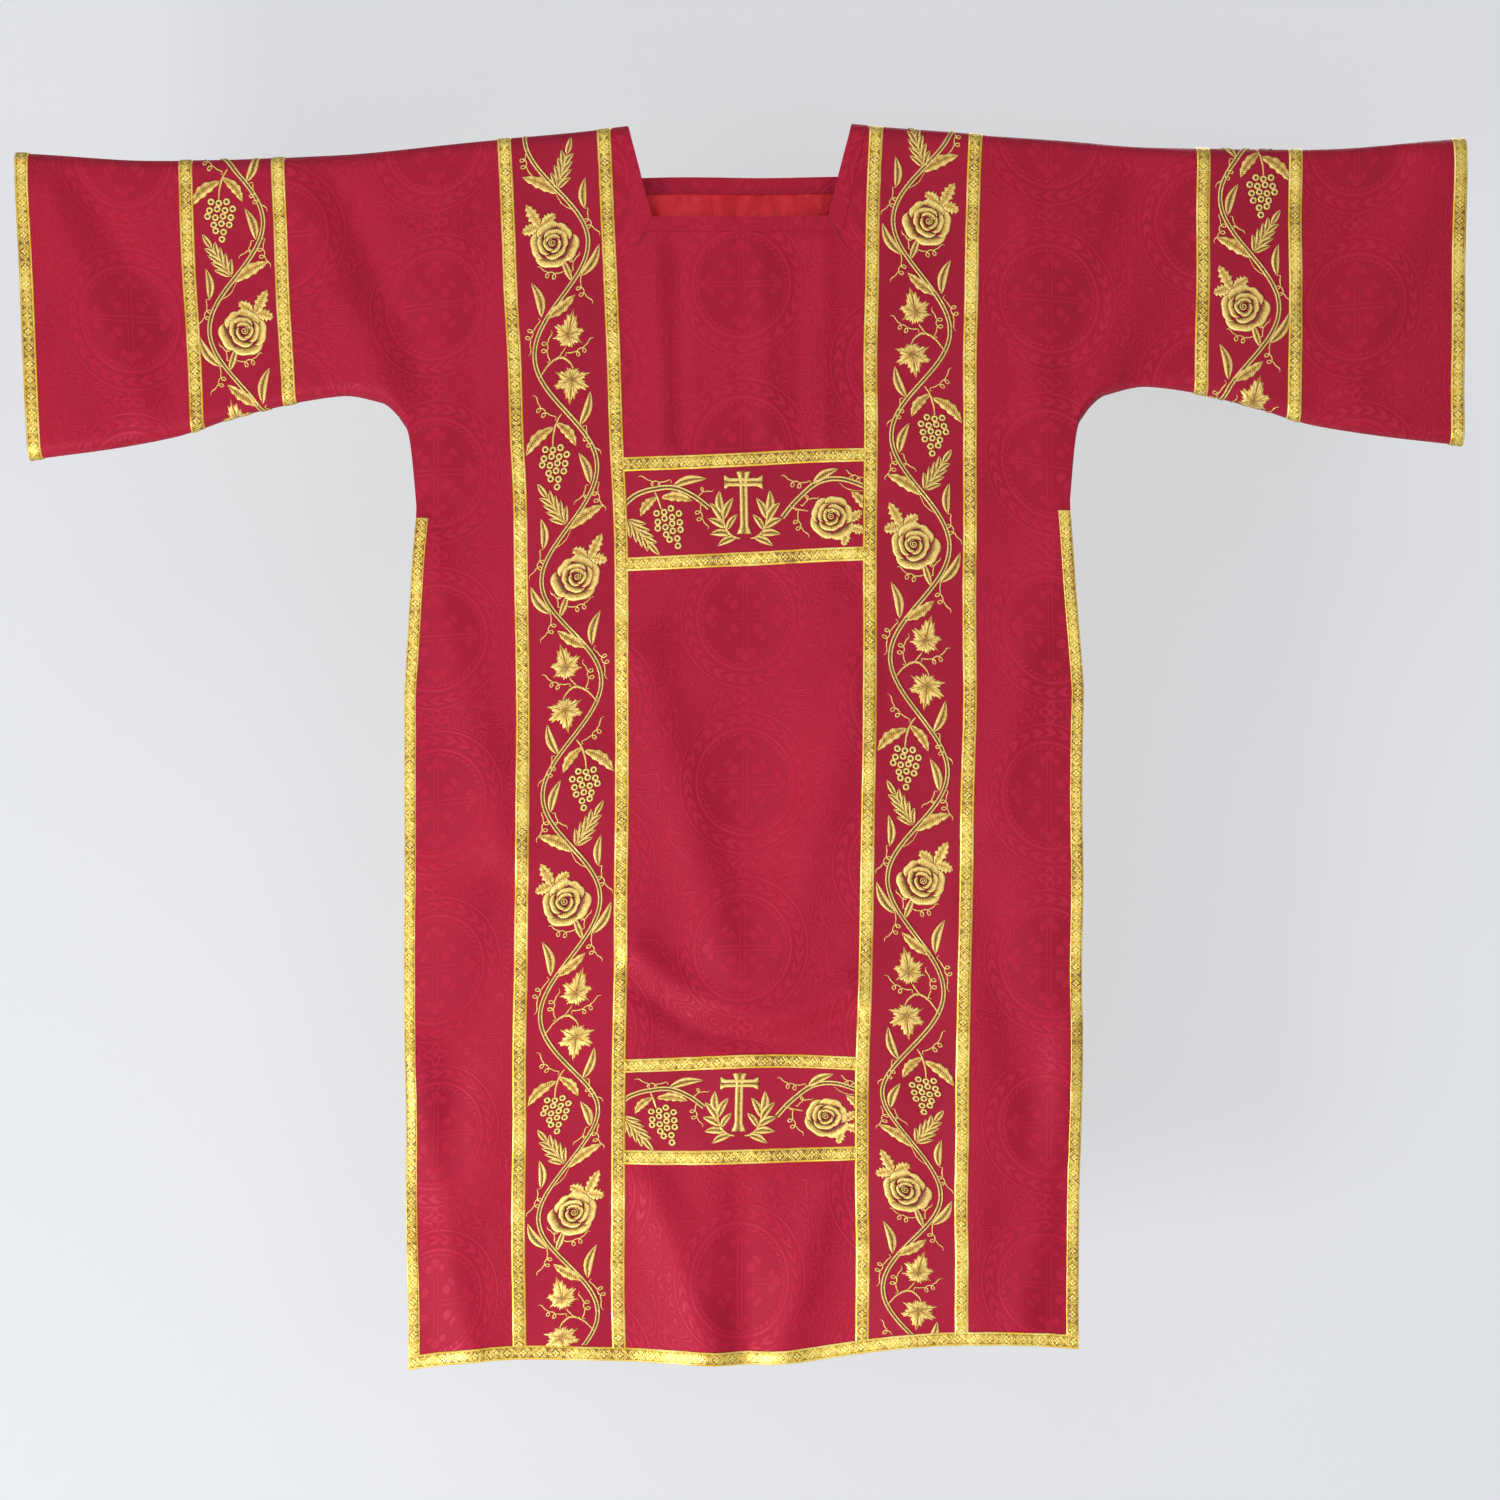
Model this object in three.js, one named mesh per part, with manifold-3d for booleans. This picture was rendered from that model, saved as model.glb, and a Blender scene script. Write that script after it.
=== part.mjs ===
// Deacon's dalmatic: a T-cut church vestment with open sides, wide sleeves and gold woven trims.
// Millimetres, +Z up, front faces -Y, the wearer's left is +X, origin at the top of the shoulders.
import * as THREE from 'three';
import Module from 'manifold-3d';
import { mergeVertices } from 'three/addons/utils/BufferGeometryUtils.js';

const wasm = await Module();
wasm.setup();

// cut of the garment
const bodyLength = 1303;
const sleeveReach = 763;
const bodyHalfWidth = 345;
const skirtFlare = 14;
const hemTuck = 5;
const slitTop = 411;
const slitFlareRun = 190;
const shoulderSlope = 0.09;
const shoulderFlat = 110;
const foldRun = 40;
const gussetRun = 85;
const underarmLevel = 278;
const cuffLowLevel = 343;
const armTopLevel = 28;
const bandTopLevel = 32;
const cuffTopLevel = 22;

// how far the two layers stand apart and how thick the cloths are
const hollowDepth = 12;
const seamGap = 0.3;
const layerGap = 0.3;
const liningThick = 0.8;
const clothThick = 1.2;
const trimThick = 1.0;
const reliefThick = 0.8;

// neck opening and its facing
const neckTopHalf = 120;
const neckFrontHalf = 93;
const neckFrontDepth = 97.5;
const neckBackHalf = 109;
const neckBackDepth = 52;
const facingWidth = 15.5;

// trims
const galloonWidth = 14.5;
const slitGalloonWidth = 13;
const clavusWidth = 90.5;
const clavusTaper = 16;
const facingClearance = 1.45;
const clavusSpreadRun = 300;
const upperBandTop = 346;
const lowerBandRise = 318;
const bandHeight = 90;
const bandEndGap = 0.8;
const sleeveBandStart = 492.3;
const sleeveBandWidth = 83.5;
const crossHeight = 52;
const crossHalfWidth = 17;
const crossArm = 5;
const crossBelowBandTop = 10;

// the way it hangs
const shoulderTilt = 0.01;
const chestTilt = 0.035;
const hemTilt = 0.022;
const rightSleeveLean = 0.045;
const leftSleeveLean = -0.005;
const sleeveLeanLevel = 180;
const bodySway = 3.3;
const swayRun = 1150;
const hemWave = 7;
const hemWaveRun = 230;
const bandSag = 4;

const layers = {};
layers.lining = [0, liningThick];
layers.cloth = [layers.lining[1] + layerGap, layers.lining[1] + layerGap + clothThick];
layers.trim = [layers.cloth[1] + layerGap, layers.cloth[1] + layerGap + trimThick];
layers.relief = [layers.trim[1] + layerGap, layers.trim[1] + layerGap + reliefThick];

// the upright strips start just outside the neck facing and draw in a little further down
const clavusCentreTop =
  neckTopHalf + facingWidth + facingClearance + galloonWidth + layerGap + clavusWidth / 2;
const clavusCentreLow = clavusCentreTop - clavusTaper;

const foldEnd = bodyHalfWidth + foldRun;
const gussetEnd = bodyHalfWidth + gussetRun;
const sleeveBandEnd = sleeveBandStart + sleeveBandWidth;
const sleeveBandCentre = sleeveBandStart + sleeveBandWidth / 2;
const afterBand = sleeveBandEnd + galloonWidth + 20;
const rollSteps = [0, 30, 60, 90];

function smooth(low, high, value) {
  const share = Math.min(1, Math.max(0, (value - low) / (high - low)));
  return share * share * (3 - 2 * share);
}

function along(points, x) {
  for (let i = 1; i < points.length; i += 1) {
    if (x <= points[i][0] || i === points.length - 1) {
      const [x0, z0] = points[i - 1];
      const [x1, z1] = points[i];
      return z0 + ((z1 - z0) * (x - x0)) / (x1 - x0);
    }
  }
  return points[0][1];
}

function shoulderTop(x) {
  return -shoulderSlope * Math.max(0, Math.abs(x) - shoulderFlat);
}

const sleeveTopLine = [
  [bodyHalfWidth, shoulderTop(bodyHalfWidth)],
  [gussetEnd, -armTopLevel],
  [afterBand, -bandTopLevel],
  [sleeveReach, -cuffTopLevel],
];
const lowDrop = cuffLowLevel - underarmLevel;
const sleeveLowLine = [
  [bodyHalfWidth, -slitTop + 6],
  [bodyHalfWidth + foldRun * 0.2, -underarmLevel - 50],
  [bodyHalfWidth + foldRun * 0.42, -underarmLevel - 29],
  [bodyHalfWidth + foldRun * 0.75, -underarmLevel - 14],
  [foldEnd, -underarmLevel - 8],
  [gussetEnd, -underarmLevel],
  [sleeveBandCentre, -underarmLevel - lowDrop * 0.29],
  [afterBand, -underarmLevel - lowDrop * 0.66],
  [sleeveReach, -cuffLowLevel],
];

// half width of the body at a level: straight to the slit, then flaring a little
const sideLine = [
  [0, bodyHalfWidth],
  [slitTop, bodyHalfWidth],
  [slitTop + slitFlareRun, bodyHalfWidth + skirtFlare],
  [bodyLength - 360, bodyHalfWidth + skirtFlare],
  [bodyLength, bodyHalfWidth + skirtFlare - hemTuck],
];

function halfWidth(z) {
  return along(sideLine, -z);
}

function clavusCentre(z) {
  return clavusCentreLow + clavusTaper * Math.exp(Math.min(0, z) / clavusSpreadRun);
}

// moves a point of the flat pattern to where the hung garment has it
function hang(x, z) {
  const reach = Math.abs(x);
  const onBody = 1 - smooth(200, 360, reach);
  const chest = Math.exp(-(((z + slitTop) / 150) ** 2)) * chestTilt * onBody;
  const hem = smooth(bodyLength - 320, bodyLength, -z);
  const bandLevel = bodyLength - lowerBandRise;
  const sag = Math.exp(-(((z + bandLevel) / 60) ** 2)) * bandSag;
  const lean = x < 0 ? rightSleeveLean : leftSleeveLean;
  const onSleeve = smooth(bodyHalfWidth, bodyHalfWidth + 125, reach);
  let outX = x + lean * (-z - sleeveLeanLevel) * onSleeve;
  outX -= bodySway * Math.cos((2 * Math.PI * z) / swayRun) * (1 - smooth(250, 340, reach));
  let outZ = z + x * (shoulderTilt + chest + hemTilt * hem);
  outZ -= hemWave * hem * Math.cos((Math.PI * x) / hemWaveRun);
  outZ += sag * Math.cos((Math.PI * Math.min(reach, 230)) / 230) * 0.75;
  return [outX, outZ];
}

function roll(degrees) {
  return { angle: THREE.MathUtils.degToRad(degrees) };
}

function level(z) {
  return { z };
}

// a point of the body: face -1 is the front, +1 the back
function bodyPoint(face, column, row, offset) {
  const radius = hollowDepth + offset;
  if (row.angle !== undefined) {
    const x = column(0);
    const y = seamGap / 2 + radius * Math.sin(row.angle);
    return [x, face * y, shoulderTop(x) - hollowDepth + radius * Math.cos(row.angle)];
  }
  return [column(row.z), face * (seamGap / 2 + radius), row.z];
}

// a point of a sleeve, rolled at the top fold and at the underarm seam
function sleevePoint(side, face, reach, row, offset, joined) {
  const top = along(sleeveTopLine, reach);
  const low = along(sleeveLowLine, reach);
  const radius = hollowDepth + offset;
  const lift = joined ? 0 : seamGap / 2;
  const spread = joined ? seamGap / 2 : 0;
  if (row.share !== undefined) {
    const z = top - hollowDepth + (low - top + 2 * hollowDepth) * row.share;
    return [side * reach, face * (seamGap / 2 + radius), z];
  }
  const y = lift + (spread + radius) * Math.sin(row.angle);
  const up = radius * Math.cos(row.angle);
  const z = row.low ? low + hollowDepth - up : top - hollowDepth + up;
  return [side * reach, face * y, z];
}

const sleeveRows = [
  ...rollSteps.map((a) => roll(a)),
  { share: 0.34 },
  { share: 0.67 },
  ...rollSteps.slice().reverse().map((a) => ({ ...roll(a), low: true })),
];

function toSolid(geometry) {
  const plain = geometry.clone();
  plain.deleteAttribute('normal');
  plain.deleteAttribute('uv');
  const merged = mergeVertices(plain, 1e-4);
  const mesh = new wasm.Mesh({
    numProp: 3,
    vertProperties: new Float32Array(merged.attributes.position.array),
    triVerts: new Uint32Array(merged.index.array),
  });
  mesh.merge();
  return new wasm.Manifold(mesh);
}

function toGeometry(solid) {
  const mesh = solid.getMesh();
  const geometry = new THREE.BufferGeometry();
  geometry.setAttribute('position', new THREE.BufferAttribute(new Float32Array(mesh.vertProperties), 3));
  geometry.setIndex(new THREE.BufferAttribute(new Uint32Array(mesh.triVerts), 1));
  return geometry;
}

function outward(geometry) {
  const position = geometry.attributes.position;
  const index = geometry.index;
  const a = new THREE.Vector3();
  const b = new THREE.Vector3();
  const c = new THREE.Vector3();
  let volume = 0;
  for (let i = 0; i < index.count; i += 3) {
    a.fromBufferAttribute(position, index.getX(i));
    b.fromBufferAttribute(position, index.getX(i + 1));
    c.fromBufferAttribute(position, index.getX(i + 2));
    volume += a.dot(b.cross(c));
  }
  if (volume < 0) {
    for (let i = 0; i < index.count; i += 3) {
      const second = index.getX(i + 1);
      index.setX(i + 1, index.getX(i + 2));
      index.setX(i + 2, second);
    }
  }
  return geometry;
}

// bends a box so that its columns and rows lie on the garment
function sheet(columns, rows, layer, pointAt) {
  const acrossCount = columns.length - 1;
  const downCount = rows.length - 1;
  const geometry = new THREE.BoxGeometry(1, 1, 1, acrossCount, 1, downCount);
  const position = geometry.attributes.position;
  for (let i = 0; i < position.count; i += 1) {
    const column = columns[Math.round((position.getX(i) + 0.5) * acrossCount)];
    const row = rows[Math.round((position.getZ(i) + 0.5) * downCount)];
    const offset = position.getY(i) > 0 ? layer[1] : layer[0];
    position.setXYZ(i, ...pointAt(column, row, offset));
  }
  return outward(geometry);
}

// bends a torus of square section into a band that runs round a sleeve
function ring(side, reaches, layer) {
  const loop = [];
  sleeveRows.forEach((row) => loop.push({ face: -1, row }));
  sleeveRows.slice(1, -1).reverse().forEach((row) => loop.push({ face: 1, row }));
  const section = [];
  reaches.forEach((reach) => section.push([reach, layer[1]]));
  reaches.slice().reverse().forEach((reach) => section.push([reach, layer[0]]));
  const geometry = new THREE.TorusGeometry(10, 4, section.length, loop.length);
  const position = geometry.attributes.position;
  for (let i = 0; i < position.count; i += 1) {
    const around = i % (loop.length + 1);
    const across = Math.floor(i / (loop.length + 1));
    const { face, row } = loop[around % loop.length];
    const [reach, offset] = section[across % section.length];
    position.setXYZ(i, ...sleevePoint(side, face, reach, row, offset, true));
  }
  return outward(geometry);
}

function hung(geometry) {
  const position = geometry.attributes.position;
  for (let i = 0; i < position.count; i += 1) {
    const [x, z] = hang(position.getX(i), position.getZ(i));
    position.setX(i, x);
    position.setZ(i, z);
  }
  geometry.computeVertexNormals();
  return geometry;
}

// a prism along Y through both layers, from a closed outline in X and Z
function prism(outline) {
  const shape = new THREE.Shape(outline.map(([x, z]) => new THREE.Vector2(x, z)));
  const geometry = new THREE.ExtrudeGeometry(shape, { depth: 200, bevelEnabled: false });
  geometry.translate(0, 0, -100);
  geometry.rotateX(Math.PI / 2);
  return outward(mergeVertices(geometry, 1e-4));
}

function neckOutline(half, depth, wider) {
  return [
    [-neckTopHalf - wider, 60],
    [-neckTopHalf - wider, 0],
    [-half - wider, -depth - wider],
    [half + wider, -depth - wider],
    [neckTopHalf + wider, 0],
    [neckTopHalf + wider, 60],
  ];
}

const finishes = {
  damask: { color: 0xb0203c, roughness: 0.62, metalness: 0 },
  lining: { color: 0xcb3040, roughness: 0.42, metalness: 0 },
  orphrey: { color: 0xb12f3e, roughness: 0.6, metalness: 0 },
  galloon: { color: 0xd8b45a, roughness: 0.38, metalness: 0.6 },
  embroidery: { color: 0xc8a046, roughness: 0.42, metalness: 0.5 },
};

const dalmatic = new THREE.Group();
dalmatic.name = 'dalmatic';

function add(name, finish, geometry) {
  const mesh = new THREE.Mesh(hung(geometry), new THREE.MeshStandardMaterial(finishes[finish]));
  mesh.name = name;
  dalmatic.add(mesh);
}

const rolls = rollSteps.map((a) => roll(a));
const hemLevel = -bodyLength;
const trimEnd = hemLevel + galloonWidth + layerGap;
const panelShares = [0, 0.16, shoulderFlat / bodyHalfWidth, 0.5, 0.67, 0.84, 1];
const bothShares = [...panelShares.slice(1).reverse().map((s) => -s), ...panelShares];
const clavusLevels = [60, 160, 270, 390, 520, 680, 860, 1040, 1180];
const stripRows = [
  ...rolls,
  ...clavusLevels.filter((z) => z < -trimEnd - 20).map((z) => level(-z)),
  level(trimEnd),
];
const lowerBandTop = bodyLength - lowerBandRise;
const bands = [['upper', upperBandTop], ['lower', lowerBandTop]];

function straightRows(low) {
  const levels = [60, 110, 200, 300, slitTop, slitTop + slitFlareRun, 770, bodyLength - 360];
  levels.push(bodyLength - 230, bodyLength - 110);
  const kept = levels.filter((z, i) => z < -low - 20 && (i === 0 || z > levels[i - 1]));
  return [...rolls, ...kept.map((z) => level(-z)), level(low)];
}

for (const [faceName, face] of [['front', -1], ['back', 1]]) {
  const at = (column, row, offset) => bodyPoint(face, column, row, offset);
  const neckHalf = face < 0 ? neckFrontHalf : neckBackHalf;
  const neckDepth = face < 0 ? neckFrontDepth : neckBackDepth;
  const neck = toSolid(prism(neckOutline(neckHalf, neckDepth, 0)));

  const panel = sheet(
    bothShares.map((share) => (z) => share * halfWidth(z)),
    straightRows(hemLevel),
    layers.cloth,
    at,
  );
  add(`${faceName}_panel`, 'damask', toGeometry(toSolid(panel).subtract(neck)));

  const liningInset = 1.5;
  const liningSheet = sheet(
    bothShares.map((share) => (z) => share * (halfWidth(z) - liningInset)),
    straightRows(hemLevel + 4),
    layers.lining,
    at,
  );
  add(`${faceName}_lining`, 'lining', toGeometry(toSolid(liningSheet).subtract(neck)));

  const facingHalf = neckTopHalf + facingWidth + 6;
  const facingSheet = sheet(
    [-facingHalf, -shoulderFlat, shoulderFlat, facingHalf].map((x) => () => x),
    [...rolls, level(-neckDepth - facingWidth - 6)],
    layers.trim,
    at,
  );
  const outer = toSolid(prism(neckOutline(neckHalf, neckDepth, facingWidth)));
  add(
    `${faceName}_neck_facing`,
    'damask',
    toGeometry(toSolid(facingSheet).intersect(outer).subtract(neck)),
  );

  for (const [sideName, side] of [['left', 1], ['right', -1]]) {
    const half = clavusWidth / 2;
    const edge = (distance) => (z) => side * (clavusCentre(z) + distance);
    const strips = [
      ['clavus', 'orphrey', -half, half],
      ['clavus_inner_galloon', 'galloon', -half - layerGap - galloonWidth, -half - layerGap],
      ['clavus_outer_galloon', 'galloon', half + layerGap, half + layerGap + galloonWidth],
    ];
    for (const [stripName, finish, near, far] of strips) {
      const columns = finish === 'orphrey' ? [near, 0, far] : [near, far];
      add(
        `${faceName}_${sideName}_${stripName}`,
        finish,
        sheet(columns.map((distance) => edge(distance)), stripRows, layers.trim, at),
      );
    }
    const slitColumns = [slitGalloonWidth, 0].map((inset) => (z) => side * (halfWidth(z) - inset));
    const slitRows = straightRows(trimEnd).filter((row) => row.z !== undefined && row.z <= -slitTop);
    add(
      `${faceName}_${sideName}_slit_galloon`,
      'galloon',
      sheet(slitColumns, slitRows, layers.trim, at),
    );
  }

  for (const [bandName, bandTop] of bands) {
    const innerEdge = (z) => clavusCentre(z) - clavusWidth / 2 - layerGap - galloonWidth - bandEndGap;
    const shares = [-1, -0.5, 0, 0.5, 1];
    const columns = shares.map((share) => (z) => share * innerEdge(z));
    const bandLevels = [
      [`${bandName}_band_top_galloon`, 'galloon', 0, galloonWidth],
      [`${bandName}_band`, 'orphrey', galloonWidth + layerGap, galloonWidth + layerGap + bandHeight],
      [
        `${bandName}_band_low_galloon`,
        'galloon',
        galloonWidth + bandHeight + 2 * layerGap,
        2 * galloonWidth + bandHeight + 2 * layerGap,
      ],
    ];
    for (const [stripName, finish, high, low] of bandLevels) {
      add(
        `${faceName}_${stripName}`,
        finish,
        sheet(columns, [level(-bandTop - high), level(-bandTop - low)], layers.trim, at),
      );
    }
    // plain cross with flared ends, standing proud of the band
    const top = -bandTop - galloonWidth - crossBelowBandTop;
    const middle = top - crossHeight * 0.4;
    const bottom = top - crossHeight;
    const arm = crossArm / 2;
    const flare = crossArm;
    const outline = [
      [-flare, top],
      [-arm, top - 7],
      [-arm, middle + arm],
      [-crossHalfWidth + 7, middle + arm],
      [-crossHalfWidth, middle + flare],
      [-crossHalfWidth, middle - flare],
      [-crossHalfWidth + 7, middle - arm],
      [-arm, middle - arm],
      [-arm, bottom + 7],
      [-flare, bottom],
      [flare, bottom],
      [arm, bottom + 7],
      [arm, middle - arm],
      [crossHalfWidth - 7, middle - arm],
      [crossHalfWidth, middle - flare],
      [crossHalfWidth, middle + flare],
      [crossHalfWidth - 7, middle + arm],
      [arm, middle + arm],
      [arm, top - 7],
      [flare, top],
    ];
    const shape = new THREE.Shape(outline.map(([x, z]) => new THREE.Vector2(x, z)));
    const cross = new THREE.ExtrudeGeometry(shape, { depth: reliefThick, bevelEnabled: false });
    cross.rotateX(Math.PI / 2);
    const outerFace = seamGap / 2 + hollowDepth + layers.relief[1];
    const innerFace = seamGap / 2 + hollowDepth + layers.relief[0];
    cross.translate(0, face < 0 ? -innerFace : outerFace, 0);
    cross.deleteAttribute('normal');
    cross.deleteAttribute('uv');
    add(`${faceName}_${bandName}_cross`, 'embroidery', outward(mergeVertices(cross, 1e-4)));
  }

  const hemColumns = bothShares.map((share) => (z) => share * halfWidth(z));
  add(
    `${faceName}_hem_galloon`,
    'galloon',
    sheet(hemColumns, [level(hemLevel + galloonWidth), level(hemLevel)], layers.trim, at),
  );
}

// every place where a sleeve's outline turns, so that all its layers bend together
function reachStations(from, to) {
  const turns = [...sleeveTopLine, ...sleeveLowLine].map((point) => point[0]);
  const inside = turns.filter((reach) => reach > from + 1 && reach < to - 1);
  return [from, ...new Set(inside), to].sort((a, b) => a - b);
}

for (const [sideName, side] of [['left', 1], ['right', -1]]) {
  for (const [faceName, face] of [['front', -1], ['back', 1]]) {
    const at = (reach, row, offset) => sleevePoint(side, face, reach, row, offset, false);
    const reaches = reachStations(foldEnd, sleeveReach);
    add(`${sideName}_sleeve_${faceName}`, 'damask', sheet(reaches, sleeveRows, layers.cloth, at));
  }
  const rings = [
    ['sleeve_fold', 'damask', bodyHalfWidth + layerGap, foldEnd - layerGap, layers.cloth],
    ['sleeve_lining', 'lining', foldEnd, sleeveReach - 4, layers.lining],
    ['sleeve_orphrey', 'orphrey', sleeveBandStart, sleeveBandEnd, layers.trim],
    [
      'sleeve_inner_galloon',
      'galloon',
      sleeveBandStart - layerGap - galloonWidth,
      sleeveBandStart - layerGap,
      layers.trim,
    ],
    [
      'sleeve_outer_galloon',
      'galloon',
      sleeveBandEnd + layerGap,
      sleeveBandEnd + layerGap + galloonWidth,
      layers.trim,
    ],
    ['cuff_galloon', 'galloon', sleeveReach - galloonWidth, sleeveReach, layers.trim],
  ];
  for (const [ringName, finish, from, to, layer] of rings) {
    add(`${sideName}_${ringName}`, finish, ring(side, reachStations(from, to), layer));
  }
}

export default dalmatic;
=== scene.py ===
import math
import bmesh
import bpy
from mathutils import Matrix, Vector, noise


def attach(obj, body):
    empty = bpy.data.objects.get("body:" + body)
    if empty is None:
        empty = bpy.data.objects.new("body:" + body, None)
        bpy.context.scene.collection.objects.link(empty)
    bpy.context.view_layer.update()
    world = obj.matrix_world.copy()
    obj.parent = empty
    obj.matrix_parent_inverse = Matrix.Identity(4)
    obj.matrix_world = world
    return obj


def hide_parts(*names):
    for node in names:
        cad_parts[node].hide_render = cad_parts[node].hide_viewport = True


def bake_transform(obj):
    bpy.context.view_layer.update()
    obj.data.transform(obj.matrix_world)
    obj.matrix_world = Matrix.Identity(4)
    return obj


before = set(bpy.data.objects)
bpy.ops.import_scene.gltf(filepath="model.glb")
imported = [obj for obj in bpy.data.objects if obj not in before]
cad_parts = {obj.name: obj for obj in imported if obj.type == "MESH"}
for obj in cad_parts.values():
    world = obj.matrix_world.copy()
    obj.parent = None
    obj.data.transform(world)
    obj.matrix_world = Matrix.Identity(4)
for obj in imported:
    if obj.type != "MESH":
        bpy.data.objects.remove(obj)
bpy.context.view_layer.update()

# the cut of the vestment in metres, the same as the solid model's
cut = {
    "bodyLength": 1.303, "sleeveReach": 0.763, "bodyHalf": 0.345, "flare": 0.014, "hemTuck": 0.005,
    "slitTop": 0.411, "slitFlareRun": 0.190, "shoulderSlope": 0.09, "shoulderFlat": 0.110,
    "foldRun": 0.040, "gussetRun": 0.085, "underarm": 0.278, "cuffLow": 0.343,
    "armTop": 0.028, "bandTop": 0.032, "cuffTop": 0.022, "hollow": 0.012, "seam": 0.0003,
    "neckTop": 0.120, "neckFront": 0.093, "neckFrontDepth": 0.0975, "neckBack": 0.109,
    "neckBackDepth": 0.052, "facing": 0.0155, "galloon": 0.0145, "slitGalloon": 0.013,
    "clavus": 0.0905, "clavusLow": 0.181, "clavusTaper": 0.016, "clavusRun": 0.300,
    "upperBand": 0.346, "lowerBand": 0.985, "bandHeight": 0.090,
    "sleeveBand": 0.4923, "sleeveBandWidth": 0.0835,
}
# how far out from the hollow each layer's outer face lies
level = {"lining": 0.0008, "cloth": 0.0023, "silk": 0.0028, "galloon": 0.0036, "stitch": 0.0027}

quarter = cut["hollow"] * math.pi / 2
afterBand = cut["sleeveBand"] + cut["sleeveBandWidth"] + cut["galloon"] + 0.020
sleeveTopLine = [
    (cut["bodyHalf"], -cut["shoulderSlope"] * (cut["bodyHalf"] - cut["shoulderFlat"])),
    (cut["bodyHalf"] + cut["gussetRun"], -cut["armTop"]),
    (afterBand, -cut["bandTop"]),
    (cut["sleeveReach"], -cut["cuffTop"]),
]
cuffDrop = cut["cuffLow"] - cut["underarm"]
sleeveLowLine = [
    (cut["bodyHalf"], -cut["slitTop"] + 0.006),
    (cut["bodyHalf"] + cut["foldRun"] * 0.2, -cut["underarm"] - 0.050),
    (cut["bodyHalf"] + cut["foldRun"] * 0.42, -cut["underarm"] - 0.029),
    (cut["bodyHalf"] + cut["foldRun"] * 0.75, -cut["underarm"] - 0.014),
    (cut["bodyHalf"] + cut["foldRun"], -cut["underarm"] - 0.008),
    (cut["bodyHalf"] + cut["gussetRun"], -cut["underarm"]),
    (cut["sleeveBand"] + cut["sleeveBandWidth"] / 2, -cut["underarm"] - cuffDrop * 0.29),
    (afterBand, -cut["underarm"] - cuffDrop * 0.66),
    (cut["sleeveReach"], -cut["cuffLow"]),
]
sideLine = [
    (0.0, cut["bodyHalf"]),
    (cut["slitTop"], cut["bodyHalf"]),
    (cut["slitTop"] + cut["slitFlareRun"], cut["bodyHalf"] + cut["flare"]),
    (cut["bodyLength"] - 0.360, cut["bodyHalf"] + cut["flare"]),
    (cut["bodyLength"], cut["bodyHalf"] + cut["flare"] - cut["hemTuck"]),
]


def smooth(low, high, value):
    share = min(1.0, max(0.0, (value - low) / (high - low)))
    return share * share * (3 - 2 * share)


def along(points, x):
    for (x0, z0), (x1, z1) in zip(points, points[1:]):
        if x <= x1:
            break
    return z0 + (z1 - z0) * (x - x0) / (x1 - x0)


# a line through the same points without corners
def curved(points, x):
    last = len(points) - 1
    i = 0
    while i < last - 1 and x > points[i + 1][0]:
        i += 1
    slopes = []
    for k in (i, i + 1):
        before, after = points[max(0, k - 1)], points[min(last, k + 1)]
        slopes.append((after[1] - before[1]) / (after[0] - before[0]))
    (x0, z0), (x1, z1) = points[i], points[i + 1]
    steep = 3 * abs((z1 - z0) / (x1 - x0))
    slopes = [max(-steep, min(steep, slope)) for slope in slopes]
    run = x1 - x0
    t = min(1.0, max(0.0, (x - x0) / run))
    return (
        z0 * (2 * t**3 - 3 * t**2 + 1)
        + slopes[0] * run * (t**3 - 2 * t**2 + t)
        + z1 * (3 * t**2 - 2 * t**3)
        + slopes[1] * run * (t**3 - t**2)
    )


def halfWidth(z):
    return along(sideLine, -z)


def shoulderTop(x):
    return -cut["shoulderSlope"] * max(0.0, abs(x) - cut["shoulderFlat"])


def clavusCentre(z):
    return cut["clavusLow"] + cut["clavusTaper"] * math.exp(min(0.0, z) / cut["clavusRun"])


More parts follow.
